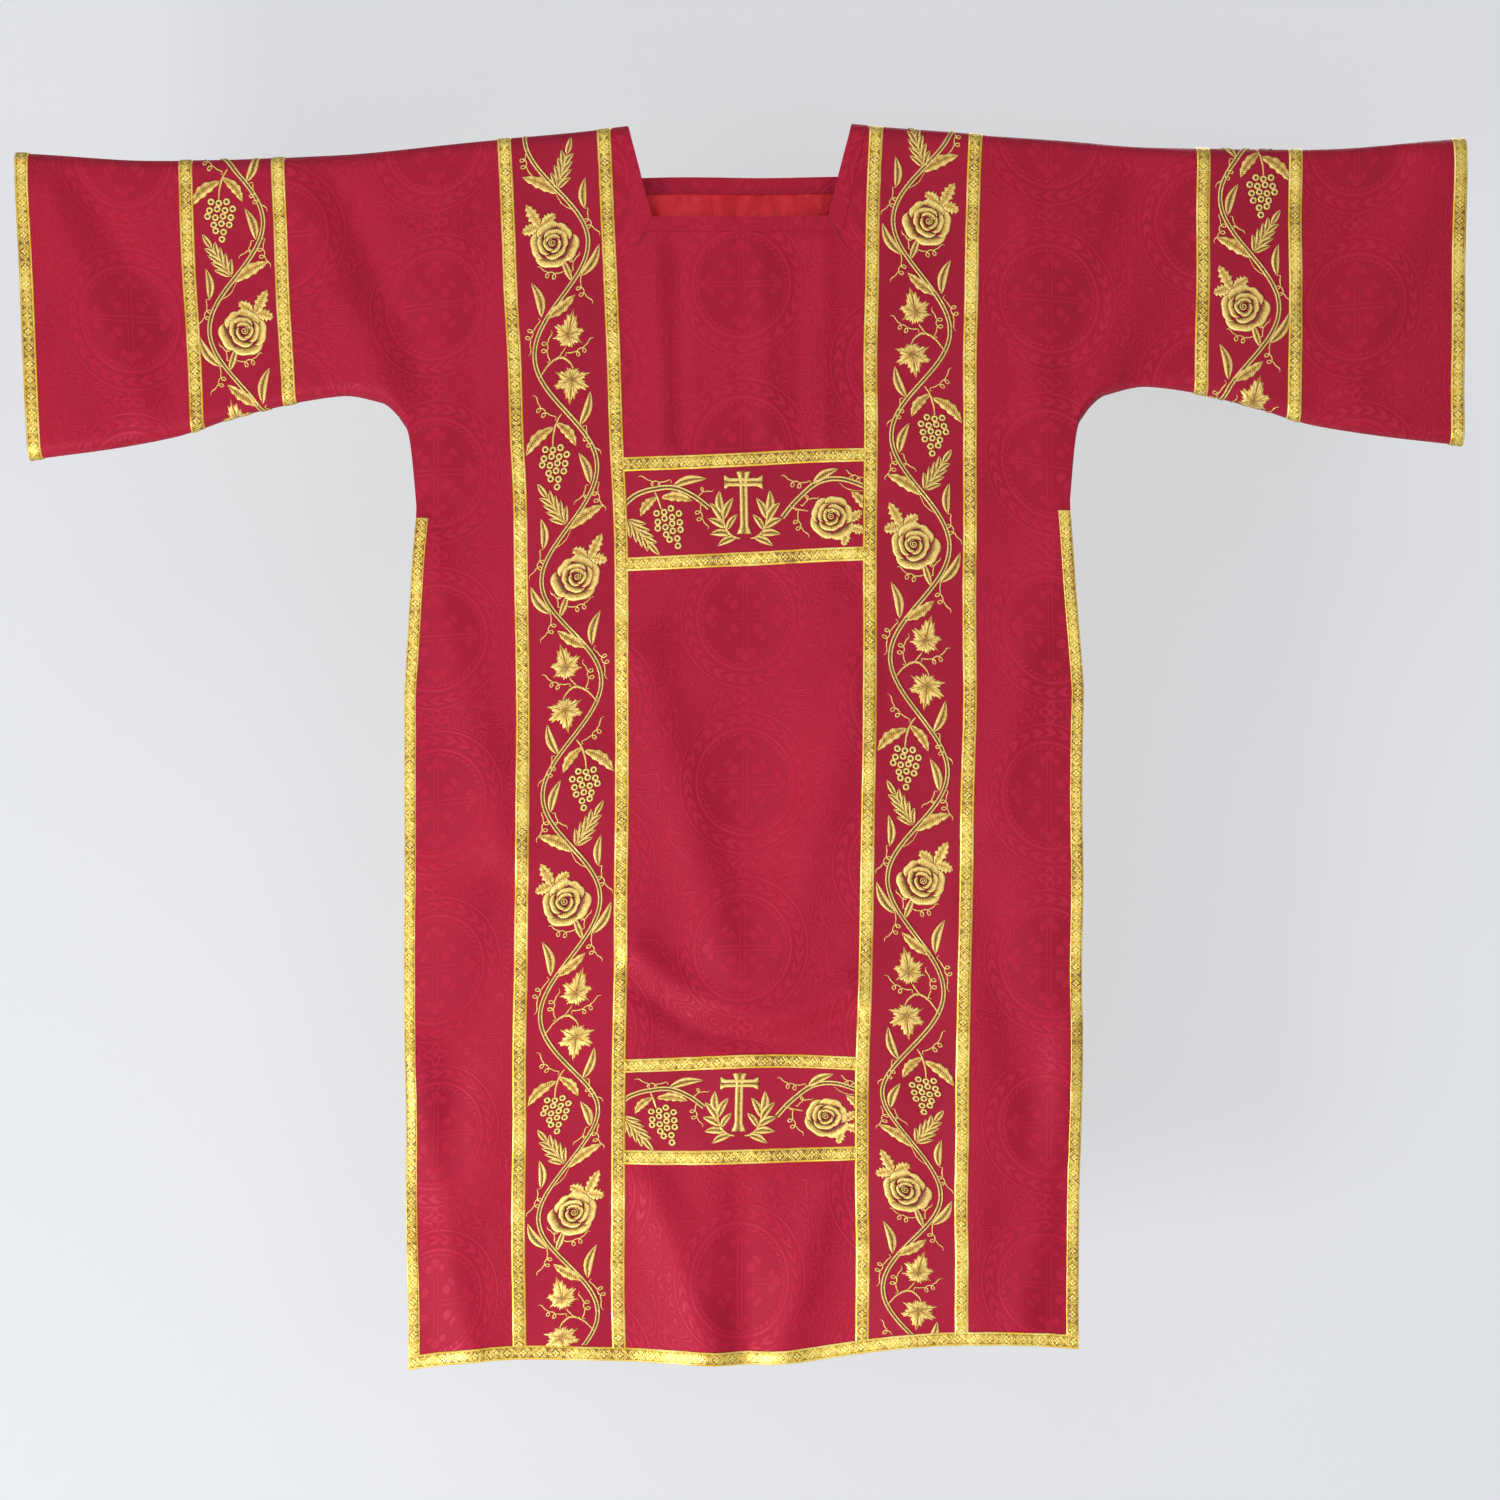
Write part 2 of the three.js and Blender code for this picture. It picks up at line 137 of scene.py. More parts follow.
# folds of the cloth: from, to, half width and height outwards, metres
foldRange = (-0.0090, 0.0088)
folds = {
    -1: [
        (-0.110, -0.560, -0.012, -0.900, 0.027, 0.0078),
        (0.112, -0.590, 0.030, -0.905, 0.027, 0.0072),
        (0.010, -0.500, 0.006, -0.780, 0.046, -0.0062),
        (-0.112, -0.872, -0.062, -0.912, 0.016, 0.0070),
        (-0.038, -0.927, 0.030, -0.945, 0.016, 0.0078),
        (0.056, -0.940, 0.112, -0.912, 0.016, 0.0066),
        (-0.116, -0.906, -0.060, -0.946, 0.012, -0.0050),
        (-0.040, -0.958, 0.032, -0.972, 0.012, -0.0058),
        (0.053, -0.966, 0.116, -0.942, 0.012, -0.0048),
        (-0.095, -1.125, -0.030, -1.290, 0.022, 0.0070),
        (0.092, -1.125, 0.040, -1.290, 0.022, 0.0070),
        (0.000, -1.130, 0.006, -1.300, 0.020, -0.0060),
        (0.000, -0.120, 0.004, -0.340, 0.005, -0.0016),
        (-0.090, -0.130, -0.084, -0.335, 0.009, 0.0040),
        (-0.067, -0.130, -0.066, -0.335, 0.008, -0.0034),
        (0.022, -0.140, 0.026, -0.330, 0.012, 0.0034),
        (0.060, -0.135, 0.058, -0.335, 0.010, -0.0030),
        (0.088, -0.125, 0.084, -0.335, 0.009, 0.0036),
        (-0.270, -0.560, -0.268, -1.290, 0.005, -0.0008),
        (0.271, -0.560, 0.270, -1.280, 0.005, -0.0008),
        (-0.735, -0.060, -0.640, -0.290, 0.024, 0.0068),
        (-0.690, -0.055, -0.610, -0.200, 0.018, -0.0052),
        (-0.470, -0.060, -0.370, -0.300, 0.028, 0.0066),
        (-0.420, -0.070, -0.345, -0.250, 0.020, -0.0050),
        (-0.300, -0.080, -0.320, -0.360, 0.020, 0.0035),
        (0.735, -0.050, 0.640, -0.280, 0.024, 0.0068),
        (0.690, -0.050, 0.600, -0.200, 0.018, -0.0052),
        (0.470, -0.050, 0.380, -0.280, 0.028, 0.0066),
        (0.410, -0.060, 0.345, -0.260, 0.020, -0.0050),
        (0.300, -0.080, 0.320, -0.360, 0.020, 0.0035),
        (-0.335, -0.430, -0.255, -0.760, 0.024, 0.0060),
        (-0.250, -0.800, -0.330, -1.150, 0.026, -0.0055),
        (-0.345, -0.980, -0.290, -1.290, 0.020, 0.0065),
        (0.335, -0.430, 0.262, -0.720, 0.024, 0.0058),
        (0.255, -0.820, 0.330, -1.120, 0.026, -0.0055),
        (0.345, -0.950, 0.300, -1.270, 0.020, 0.0065),
    ],
    1: [
        (-0.100, -0.160, -0.040, -0.640, 0.034, 0.0050),
        (0.100, -0.160, 0.050, -0.640, 0.034, 0.0050),
        (0.000, -0.180, 0.000, -0.700, 0.030, -0.0040),
        (-0.080, -0.700, -0.060, -1.290, 0.030, 0.0050),
        (0.085, -0.720, 0.055, -1.290, 0.030, 0.0050),
        (-0.290, -0.450, -0.310, -1.290, 0.024, 0.0050),
        (0.295, -0.450, 0.305, -1.280, 0.024, 0.0050),
        (-0.700, -0.060, -0.640, -0.300, 0.022, 0.0045),
        (0.700, -0.060, 0.640, -0.290, 0.022, 0.0045),
        (-0.440, -0.060, -0.370, -0.290, 0.024, 0.0045),
        (0.440, -0.060, 0.370, -0.290, 0.024, 0.0045),
    ],
}


def foldHeight(face, x, z):
    total = 0.0
    for x0, z0, x1, z1, width, height in folds[face]:
        runX, runZ = x1 - x0, z1 - z0
        share = ((x - x0) * runX + (z - z0) * runZ) / (runX * runX + runZ * runZ)
        share = min(1.0, max(0.0, share))
        away = ((x0 + runX * share - x) ** 2 + (z0 + runZ * share - z) ** 2) / (width * width)
        if away < 9:
            total += height * math.exp(-away)
    low = smooth(0.35, 1.30, -z)
    seed = 3.1 * face
    total += 0.0034 * noise.noise(Vector((x * 5.2, z * 2.4, seed)))
    total += (0.0020 + 0.0042 * low) * noise.noise(Vector((x * 12.5, z * 2.2, seed + 7)))
    total += 0.0010 * noise.noise(Vector((x * 24, z * 17, seed + 13)))
    return max(foldRange[0], min(foldRange[1], total))


# moves a point of the flat pattern to where the hung garment has it
def hang(x, z):
    reach = abs(x)
    chest = math.exp(-(((z + cut["slitTop"]) / 0.150) ** 2)) * 0.035 * (1 - smooth(0.200, 0.360, reach))
    hem = smooth(cut["bodyLength"] - 0.320, cut["bodyLength"], -z)
    sag = math.exp(-(((z + cut["lowerBand"]) / 0.060) ** 2)) * 0.004
    lean = 0.045 if x < 0 else -0.005
    onSleeve = smooth(cut["bodyHalf"], cut["bodyHalf"] + 0.125, reach)
    outX = x + lean * (-z - 0.180) * onSleeve
    outX -= 0.0033 * math.cos(2 * math.pi * z / 1.150) * (1 - smooth(0.250, 0.340, reach))
    outZ = z + x * (0.01 + chest + 0.022 * hem)
    outZ -= 0.007 * hem * math.cos(math.pi * x / 0.230)
    outZ += sag * math.cos(math.pi * min(reach, 0.230) / 0.230) * 0.75
    tipped = smooth(cut["lowerBand"], cut["lowerBand"] + 0.100, -z) - smooth(1.090, 1.290, -z)
    outZ += 0.009 * tipped * (1 - smooth(0.125, 0.235, reach))
    outX += 0.0016 * noise.noise(Vector((x * 4, z * 9, 21)))
    outZ += 0.0020 * noise.noise(Vector((x * 8, z * 3, 31)))
    return outX, outZ


# down is measured over the cloth from the top fold; out is measured from the hollow
def garmentPoint(face, x, down, out, sleeve=False):
    reach = abs(x)
    hollow = cut["hollow"]
    radius = hollow + out
    top = curved(sleeveTopLine, reach) if sleeve else shoulderTop(x)
    turn = 1.0
    lift = cut["seam"] / 2
    if down < quarter:
        angle = max(0.0, down) / hollow
        turn = math.sin(angle)
        y, z = radius * turn, top - hollow + radius * math.cos(angle)
    else:
        y, z = radius, top - hollow - (down - quarter)
    if sleeve:
        low = curved(sleeveLowLine, reach)
        left = 2 * quarter + top - low - 2 * hollow - down
        lift *= turn
        if left < quarter:
            angle = max(0.0, left) / hollow
            turn = math.sin(angle)
            y, z = radius * turn, low + hollow - radius * math.cos(angle)
            lift = turn * cut["seam"] / 2
    depth = lift + y + turn * foldHeight(face, x, top - hollow - (down - quarter))
    outX, outZ = hang(x, z)
    return Vector((outX, face * depth, outZ))


def sleeveRun(reach):
    return 2 * quarter + curved(sleeveTopLine, reach) - curved(sleeveLowLine, reach) - 2 * cut["hollow"]


def bodyRun(x, inset=0.0):
    return quarter + shoulderTop(x) - cut["hollow"] + cut["bodyLength"] - inset


def steps(low, high, count):
    return [low + (high - low) * i / count for i in range(count + 1)]


# lays a grid of cells by a rule that gives each corner its place, thread direction and tone
def layGrid(bm, columns, rows, rule):
    thread = bm.loops.layers.uv.verify()
    tone = bm.verts.layers.float.get("tone") or bm.verts.layers.float.new("tone")
    acrossCount, downCount = len(columns) - 1, len(rows) - 1
    grid = bmesh.ops.create_grid(bm, x_segments=acrossCount, y_segments=downCount, size=0.5)
    threads = {}
    for vert in grid["verts"]:
        column = columns[round((vert.co.x + 0.5) * acrossCount)]
        row = rows[round((vert.co.y + 0.5) * downCount)]
        vert.co, threads[vert], vert[tone] = rule(column, row)
    faces = {f for vert in grid["verts"] for f in vert.link_faces}
    for f in faces:
        for loop in f.loops:
            loop[thread].uv = threads[loop.vert]
    return grid["verts"], list(faces)


# turns a patch so that its faces look away from the hollow
def faceOut(faces, face):
    total = 0.0
    for f in faces:
        f.normal_update()
        total += f.normal.y * face * f.calc_area() + 0.3 * f.normal.z * f.calc_area()
    if total < 0:
        for f in faces:
            f.normal_flip()


def finishPiece(name, bm, material, thick=0.0):
    # rims stay crisp, so that they don't darken the cloth beside them
    for edge in bm.edges:
        edge.smooth = not edge.is_boundary
    mesh = bpy.data.meshes.new(name)
    bm.to_mesh(mesh)
    bm.free()
    mesh.polygons.foreach_set("use_smooth", [True] * len(mesh.polygons))
    mesh.materials.append(material)
    piece = bpy.data.objects.new(name, mesh)
    bpy.context.scene.collection.objects.link(piece)
    if thick:
        solid = piece.modifiers.new("thickness", "SOLIDIFY")
        solid.thickness = thick
        solid.offset = -1
    return piece


# a value or colour in a material, so that patterns can be written as sums
class Weave:
    def __init__(self, tree, socket):
        self.tree, self.socket = tree, socket

    def node(self, kind, settings=None, inputs=None, output=0):
        made = self.tree.nodes.new(kind)
        for key, value in (settings or {}).items():
            setattr(made, key, value)
        for key, value in (inputs or {}).items():
            if isinstance(value, Weave):
                self.tree.links.new(value.socket, made.inputs[key])
            else:
                made.inputs[key].default_value = value
        return Weave(self.tree, made.outputs[output])

    def sum(self, operation, *others):
        values = {i: other for i, other in enumerate((self, *others))}
        return self.node("ShaderNodeMath", {"operation": operation}, values)

    def turned(self, operation, other):
        return self.node("ShaderNodeMath", {"operation": operation}, {0: other, 1: self})

    def __add__(self, other):
        return self.sum("ADD", other)

    def __sub__(self, other):
        return self.sum("SUBTRACT", other)

    def __mul__(self, other):
        return self.sum("MULTIPLY", other)

    def __truediv__(self, other):
        return self.sum("DIVIDE", other)

    def __radd__(self, other):
        return self.turned("ADD", other)

    def __rsub__(self, other):
        return self.turned("SUBTRACT", other)

    def __rmul__(self, other):
        return self.turned("MULTIPLY", other)

    # 1 inside a band about the middle value, with soft edges
    def band(self, middle, half, soft):
        return (self - middle).sum("ABSOLUTE").ramp(half + soft, half - soft)

    def ramp(self, low, high):
        return self.node(
            "ShaderNodeMapRange",
            {"interpolation_type": "SMOOTHSTEP"},
            {"Value": self, "From Min": min(low, high), "From Max": max(low, high),
             "To Min": 0.0 if low < high else 1.0, "To Max": 1.0 if low < high else 0.0},
        )

    def wave(self, pitch, shift=0.0):
        return (self * (2 * math.pi / pitch) + shift).sum("SINE")

    def mix(self, colourA, colourB):
        mixed = self.node("ShaderNodeMix", {"data_type": "RGBA"})
        made = mixed.socket.node
        for index, value in ((0, self), (6, colourA), (7, colourB)):
            if isinstance(value, Weave):
                self.tree.links.new(value.socket, made.inputs[index])
            else:
                made.inputs[index].default_value = (*value, 1)
        return Weave(self.tree, made.outputs[2])


def newMaterial(name, constants):
    material = bpy.data.materials.new(name)
    material.use_nodes = True
    tree = material.node_tree
    shader = tree.nodes["Principled BSDF"]
    for key, value in constants.items():
        shader.inputs[key].default_value = value
    coordinates = tree.nodes.new("ShaderNodeTexCoord")
    place = Weave(tree, coordinates.outputs["UV"])
    solid = Weave(tree, coordinates.outputs["Object"])
    apart = place.node("ShaderNodeSeparateXYZ", inputs={"Vector": place}).socket.node
    across, down = Weave(tree, apart.outputs[0]), Weave(tree, apart.outputs[1])
    return material, shader, across, down, place, solid


def connect(shader, name, weave):
    shader.id_data.links.new(weave.socket, shader.inputs[name])


def roughen(shader, height, strength, distance):
    bump = height.node(
        "ShaderNodeBump", inputs={"Height": height, "Strength": strength, "Distance": distance}
    )
    connect(shader, "Normal", bump)


# tone-on-tone silk: round wreaths with a budded cross inside, rosettes and scrolls between
damaskLook = {
    # shade is the darkest ground colour, reached by random mottling and by the painted sheen shade inside the
    # medallions
    "ground": (0.405, 0.0092, 0.0310), "figure": (0.462, 0.0125, 0.0410), "shade": (0.262, 0.0040, 0.0180),
    "pitchAcross": 0.162, "pitchDown": 0.175, "stretch": 1.10, "ring": 0.051, "wreath": 0.0605, "rim": 0.0685,
}


def damaskFigure(across, down, look):
    column = (across / look["pitchAcross"] + 0.5).sum("FLOOR")
    cellX = across - column * look["pitchAcross"]
    offset = column.sum("PINGPONG", 1.0) * 0.5
    rows = down / look["pitchDown"] + offset
    cellZ = (rows - (rows + 0.5).sum("FLOOR")) * look["pitchDown"]
    tall = cellZ / look["stretch"]
    radius = (cellX * cellX + tall * tall).sum("SQRT")
    bearing = tall.sum("ARCTAN2", cellX)
    ring = radius.band(look["ring"], 0.0014, 0.0006)
    turns = (bearing * 44 + radius * 900).sum("SINE").ramp(-0.3, 0.3)
    rope = radius.band(look["ring"] - 0.0045, 0.0016, 0.0008) * turns
    leafEdge = (bearing * 26 - (radius - look["wreath"]).sum("ABSOLUTE") * 700).sum("SINE").ramp(-0.5, 0.2)
    wreath = radius.band(look["wreath"], 0.0042, 0.0010) * leafEdge
    rim = radius.band(look["rim"], 0.0008, 0.0005)
    sideX, sideZ = cellX.sum("ABSOLUTE"), tall.sum("ABSOLUTE")
    far, near = sideX.sum("MAXIMUM", sideZ), sideX.sum("MINIMUM", sideZ)
    arms = near.band(0.0022, 0.0005, 0.0004) * far.ramp(0.036, 0.034)

    def bud(atFar, atNear, size):
        gap = ((far - atFar) * (far - atFar) + (near - atNear) * (near - atNear)).sum("SQRT")
        return gap.ramp(size + 0.0006, size - 0.0006)

    buds = bud(0.0385, 0.0, 0.0046).sum("MAXIMUM", bud(0.0335, 0.0072, 0.0036))
    buds = buds.sum("MAXIMUM", bud(0.0125, 0.0115, 0.0042)).sum("MAXIMUM", bud(0.020, 0.017, 0.0026))
    middleZ = cellZ.sum("ABSOLUTE") - look["pitchDown"] / 2
    star = (cellX * cellX + middleZ * middleZ).sum("SQRT")
    starBearing = middleZ.sum("ARCTAN2", cellX)
    rosette = star.sum("SUBTRACT", (starBearing * 4).sum("COSINE") * 0.0030).band(0.0085, 0.0018, 0.0008)
    rosette = rosette.sum("MAXIMUM", star.ramp(0.0042, 0.0030))
    field = cellX.wave(0.041) + cellZ.wave(0.046, 1.1) + radius.wave(0.024, 0.6)
    filigree = (field * 7.5).sum("SINE").ramp(0.25, 0.90)
    scrollA = (field.band(0.35, 0.22, 0.14) * 0.7).sum("MAXIMUM", filigree)
    scroll = scrollA * radius.ramp(0.0700, 0.0725) * star.ramp(0.0125, 0.0145)
    figure = ring.sum("MAXIMUM", rope).sum("MAXIMUM", wreath).sum("MAXIMUM", rim)
    figure = figure.sum("MAXIMUM", arms).sum("MAXIMUM", buds * 0.7)
    figure = figure.sum("MAXIMUM", rosette).sum("MAXIMUM", scroll * 0.8)
    return figure, radius.ramp(0.0475, 0.0440)


def makeDamask(name, look, figureShare):
    material, shader, across, down, place, solid = newMaterial(
        name, {"Sheen Weight": 0.04, "Sheen Roughness": 0.4, "Sheen Tint": (1.0, 0.30, 0.50, 1),
               "Specular IOR Level": 0.44, "Specular Tint": (1.0, 0.33, 0.50, 1)}
    )
    figure, wreathed = damaskFigure(across, down, look)
    figure = figure * figureShare
    cloud = solid.node("ShaderNodeTexNoise", inputs={"Vector": solid, "Scale": 7.0, "Detail": 2.0})
    grain = place.node("ShaderNodeTexNoise", inputs={"Vector": place, "Scale": 620.0, "Detail": 1.0})
    # painted shade: the inside of each medallion is darkened in cloudy patches, standing in for the sheen
    # turning away there
    paintedSheenShade = wreathed * cloud.ramp(0.42, 0.66) * (0.13 * figureShare)
    tone = figure * 0.62 + (cloud - 0.5) * 0.60 + (grain - 0.5) * 0.35 - paintedSheenShade
    ground = tone.ramp(-0.4, 0.15).mix(look["shade"], look["ground"])
    connect(shader, "Base Color", tone.ramp(0.05, 1.0).mix(ground, look["figure"]))
    connect(shader, "Roughness", 0.54 - figure * 0.10 + (grain - 0.5) * 0.08)
    twill = (across * 1.0 + down * 1.0).wave(0.0011) * 0.35 + (across - down).wave(0.0016) * 0.2
    roughen(shader, twill * (1 - figure * 0.8) + figure * 2.4 + grain * 0.4, 0.36, 0.00032)
    return material


# plain lining satin with a soft crumple; the crumple also runs its colour between dark and light, as painted
# shade and highlight on the gathers
def makeSatin(name, dark, light):
    material, shader, across, down, place, _ = newMaterial(
        name, {"Specular IOR Level": 0.55, "Specular Tint": (1.0, 0.5, 0.55, 1), "Sheen Weight": 0.05}
    )
    drawn = place.node(
        "ShaderNodeVectorMath", {"operation": "MULTIPLY"}, {0: place, 1: (1.0, 0.45, 1.0)}
    )
    crumple = drawn.node(
        "ShaderNodeTexNoise", inputs={"Vector": drawn, "Scale": 52.0, "Detail": 2.0, "Distortion": 0.8}
    )
    weave = across.wave(0.0007) * 0.3 + down.wave(0.0019) * 0.1
    connect(shader, "Base Color", crumple.ramp(0.3, 0.7).mix(dark, light))
    connect(shader, "Roughness", 0.34 + (crumple - 0.5) * 0.12)
    roughen(shader, crumple * 6 + weave * 0.15, 0.55, 0.0016)
    return material


# gold thread laid in satin stitch; the tone of each part runs from deep 0 to bright 1. The tone is mostly
# painted light: painted highlight on raised rims and cords, painted shade in grooves, hollows and under
# overlapping petals, with some stitched marks in the leaves
def makeGoldThread(name, deep, middle, bright, pitch):
    material, shader, across, _, place, solid = newMaterial(
        name, {"Specular IOR Level": 0.6, "Sheen Weight": 0.15}
    )
    tone = solid.node("ShaderNodeAttribute", {"attribute_name": "tone"}, output=2)
    wander = place.node("ShaderNodeTexNoise", inputs={"Vector": place, "Scale": 900.0, "Detail": 1.0})
    stitch = (across + (wander - 0.5) * (pitch * 0.7)).wave(pitch) * 0.5 + 0.5
    glint = solid.node("ShaderNodeTexNoise", inputs={"Vector": solid, "Scale": 420.0, "Detail": 1.0})
    bundle = (across + (wander - 0.5) * 0.0006).wave(0.0023)
    # the tone and glint bring painted shade, painted highlight and painted sparkle into the colour
    shade = tone * 1.18 - 0.10 + (stitch - 0.5) * 0.26 + bundle * 0.19 + (glint - 0.5) * 0.65
    low = shade.ramp(0.10, 0.60).mix(deep, middle)
    connect(shader, "Base Color", shade.ramp(0.55, 1.0).mix(low, bright))
    connect(shader, "Metallic", shade.ramp(0.1, 0.6) * 0.45)
    connect(shader, "Roughness", 0.50 - stitch * 0.12)
    roughen(shader, stitch + wander * 0.4, 0.5, 0.00018)
    return material


# woven gold braid: bright rims, and crosses and leaves in turn down the middle
braidLook = {
    "deep": (0.190, 0.082, 0.002), "gold": (0.860, 0.525, 0.026), "bright": (1.000, 0.880, 0.290),
    "repeat": 0.0170, "pick": 0.00085,
}


def makeBraid(name, look):
    material, shader, across, down, place, solid = newMaterial(name, {"Specular IOR Level": 0.7})
    side = across.sum("ABSOLUTE")
    rim = side.ramp(0.0052, 0.0056)
    groove = side.band(0.0049, 0.0003, 0.0002)
    step = (down / look["repeat"]).sum("FRACT") - 0.5
    along = step * look["repeat"]
    farAlong = along.sum("ABSOLUTE")
    petals = (side * side + along * along).sum("SQRT") - (
        (along.sum("ARCTAN2", across) * 4).sum("COSINE") * 0.0009
    )
    flower = petals.ramp(0.0031, 0.0023) * petals.ramp(0.0004, 0.0010)
    leafGap = look["repeat"] / 2 - farAlong
    leafLine = (leafGap - side * 0.75).band(0.0004, 0.0005, 0.00025)
    leafTwo = (leafGap - side * 0.75).band(0.0026, 0.0005, 0.00025)
    motif = flower.sum("MAXIMUM", leafLine).sum("MAXIMUM", leafTwo) * (1 - rim)
    picks = down.wave(look["pick"]) * 0.5 + 0.5
    glint = place.node(
        "ShaderNodeTexNoise", inputs={"Vector": place, "Scale": 430.0, "Detail": 2.0, "Roughness": 0.7}
    )
    drift = solid.node("ShaderNodeTexNoise", inputs={"Vector": solid, "Scale": 30.0, "Detail": 1.0})
    # the groove inside each rim is painted darker, as painted shade; glint adds painted sparkle
    shade = 0.30 + rim * 0.34 + motif * 0.62 - groove * 0.32 + (glint - 0.5) * (1.9 - rim * 1.2)
    shade = shade * 1.25 - 0.08 + (drift - 0.5) * 1.3 + (picks - 0.5) * 0.10
    low = shade.ramp(0.0, 0.5).mix(look["deep"], look["gold"])
    connect(shader, "Base Color", shade.ramp(0.5, 1.1).mix(low, look["bright"]))
    connect(shader, "Metallic", shade.ramp(0.0, 0.5) * 0.55)
    connect(shader, "Roughness", 0.46 - glint * 0.16)
    roughen(shader, motif * 1.2 + rim * 0.8 - groove * 0.8 + picks * 0.3 + glint * 0.5, 0.55, 0.0003)
    return material


silkLook = {**damaskLook, "ground": (0.375, 0.0098, 0.0310), "figure": (0.430, 0.0130, 0.0390)}
damask = makeDamask("crimson damask", damaskLook, 1.0)
silk = makeDamask("plain crimson silk", silkLook, 0.12)
satin = makeSatin("scarlet lining satin", (0.74, 0.010, 0.020), (1.00, 0.034, 0.052))
goldThread = makeGoldThread(
    "gold satin stitch", (0.125, 0.034, 0.004), (0.700, 0.395, 0.052), (1.000, 0.790, 0.270), 0.0009
)
braid = makeBraid("woven gold braid", braidLook)
print("materials done")

torso = "torso"
sideNames = {1: "left", -1: "right"}
faceNames = {-1: "front", 1: "back"}
rollRows = [quarter * i / 6 for i in range(6)]


def downRows(low, spacing):
    count = max(2, round((low - quarter) / spacing))
    return [*rollRows, *steps(quarter, low, count)]


# neck line as X and down, measured over the cloth; wider moves it out into the facing
def neckLine(face, wider=0.0):
    over = quarter - cut["hollow"]
    half = cut["neckFront"] if face < 0 else cut["neckBack"]
    depth = (cut["neckFrontDepth"] if face < 0 else cut["neckBackDepth"]) + over
    return [(cut["neckTop"] + wider, 0.0), (half + wider, depth + wider)]


# cuts a flat patch, lying in X and Z, along a neck line; keeps its outside or its inside
def cutNeck(bm, line, keepOutside):
    (topX, topDown), (lowX, lowDown) = line
    lean = Vector((topX - lowX, 0, lowDown - topDown)).normalized()
    planes = [
        (Vector((lowX, 0, -lowDown)), Vector((lean.z, 0, -lean.x))),
        (Vector((-lowX, 0, -lowDown)), Vector((-lean.z, 0, -lean.x))),
        (Vector((0, 0, -lowDown)), Vector((0, 0, -1))),
    ]
    for place, normal in planes:
        nearby = [f for f in bm.faces if abs(f.calc_center_median().x) < topX + 0.02
                  and f.calc_center_median().z > -lowDown - 0.02]
        geometry = {*nearby, *(e for f in nearby for e in f.edges), *(v for f in nearby for v in f.verts)}
        bmesh.ops.bisect_plane(bm, geom=list(geometry), plane_co=place, plane_no=normal, dist=1e-6)
    gone = []
    for f in bm.faces:
        middle = f.calc_center_median()
        inside = all((middle - place).dot(normal) < 1e-7 for place, normal in planes)
        if inside == keepOutside:
            gone.append(f)
    bmesh.ops.delete(bm, geom=gone, context="FACES")


def wrapFlat(bm, face, out):
    for vert in bm.verts:
        vert.co = garmentPoint(face, vert.co.x, -vert.co.z, out)
    faceOut(bm.faces, face)


def flatRule(x, down):
    return Vector((x, 0, -down)), (x, -down), 0.5


# the two large body panels and their lining, cut out round the neck
panelCut = {
    "columns": 92, "spacing": 0.008, "thick": 0.0009,
    "liningInset": 0.0015, "liningShort": 0.004, "liningThick": 0.0005,
}


def bodySheet(name, face, out, inset, short, material, thick):
    bm = bmesh.new()
    rows = downRows(bodyRun(0) - short, panelCut["spacing"])
    layGrid(bm, steps(-1, 1, panelCut["columns"]), rows, lambda share, down: (
        Vector((share, 0, -down)), (0, 0), 0.5))
    thread = bm.loops.layers.uv.verify()
    full = rows[-1]
    for vert in bm.verts:
        down = -vert.co.z
        x = vert.co.x * (halfWidth(-down) - inset)
        below = smooth(quarter, full, down) * (full - bodyRun(x, short)) if down > quarter else 0
        vert.co = Vector((x, 0, -(down - below)))
    cutNeck(bm, neckLine(face), True)
    for f in bm.faces:
        for loop in f.loops:
            loop[thread].uv = (loop.vert.co.x, loop.vert.co.z)
    wrapFlat(bm, face, out)
    return finishPiece(name, bm, material, thick)


for face in (-1, 1):
    faceName = faceNames[face]
    panel = bodySheet(f"{faceName}_panel_damask", face, level["cloth"], 0, 0, damask, panelCut["thick"])
    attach(panel, torso)
    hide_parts(f"{faceName}_panel")
    lining = bodySheet(
        f"{faceName}_lining_satin", face, level["lining"], panelCut["liningInset"],
        panelCut["liningShort"], satin, panelCut["liningThick"],
    )
    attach(lining, torso)
    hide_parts(f"{faceName}_lining")
print("body panels done")

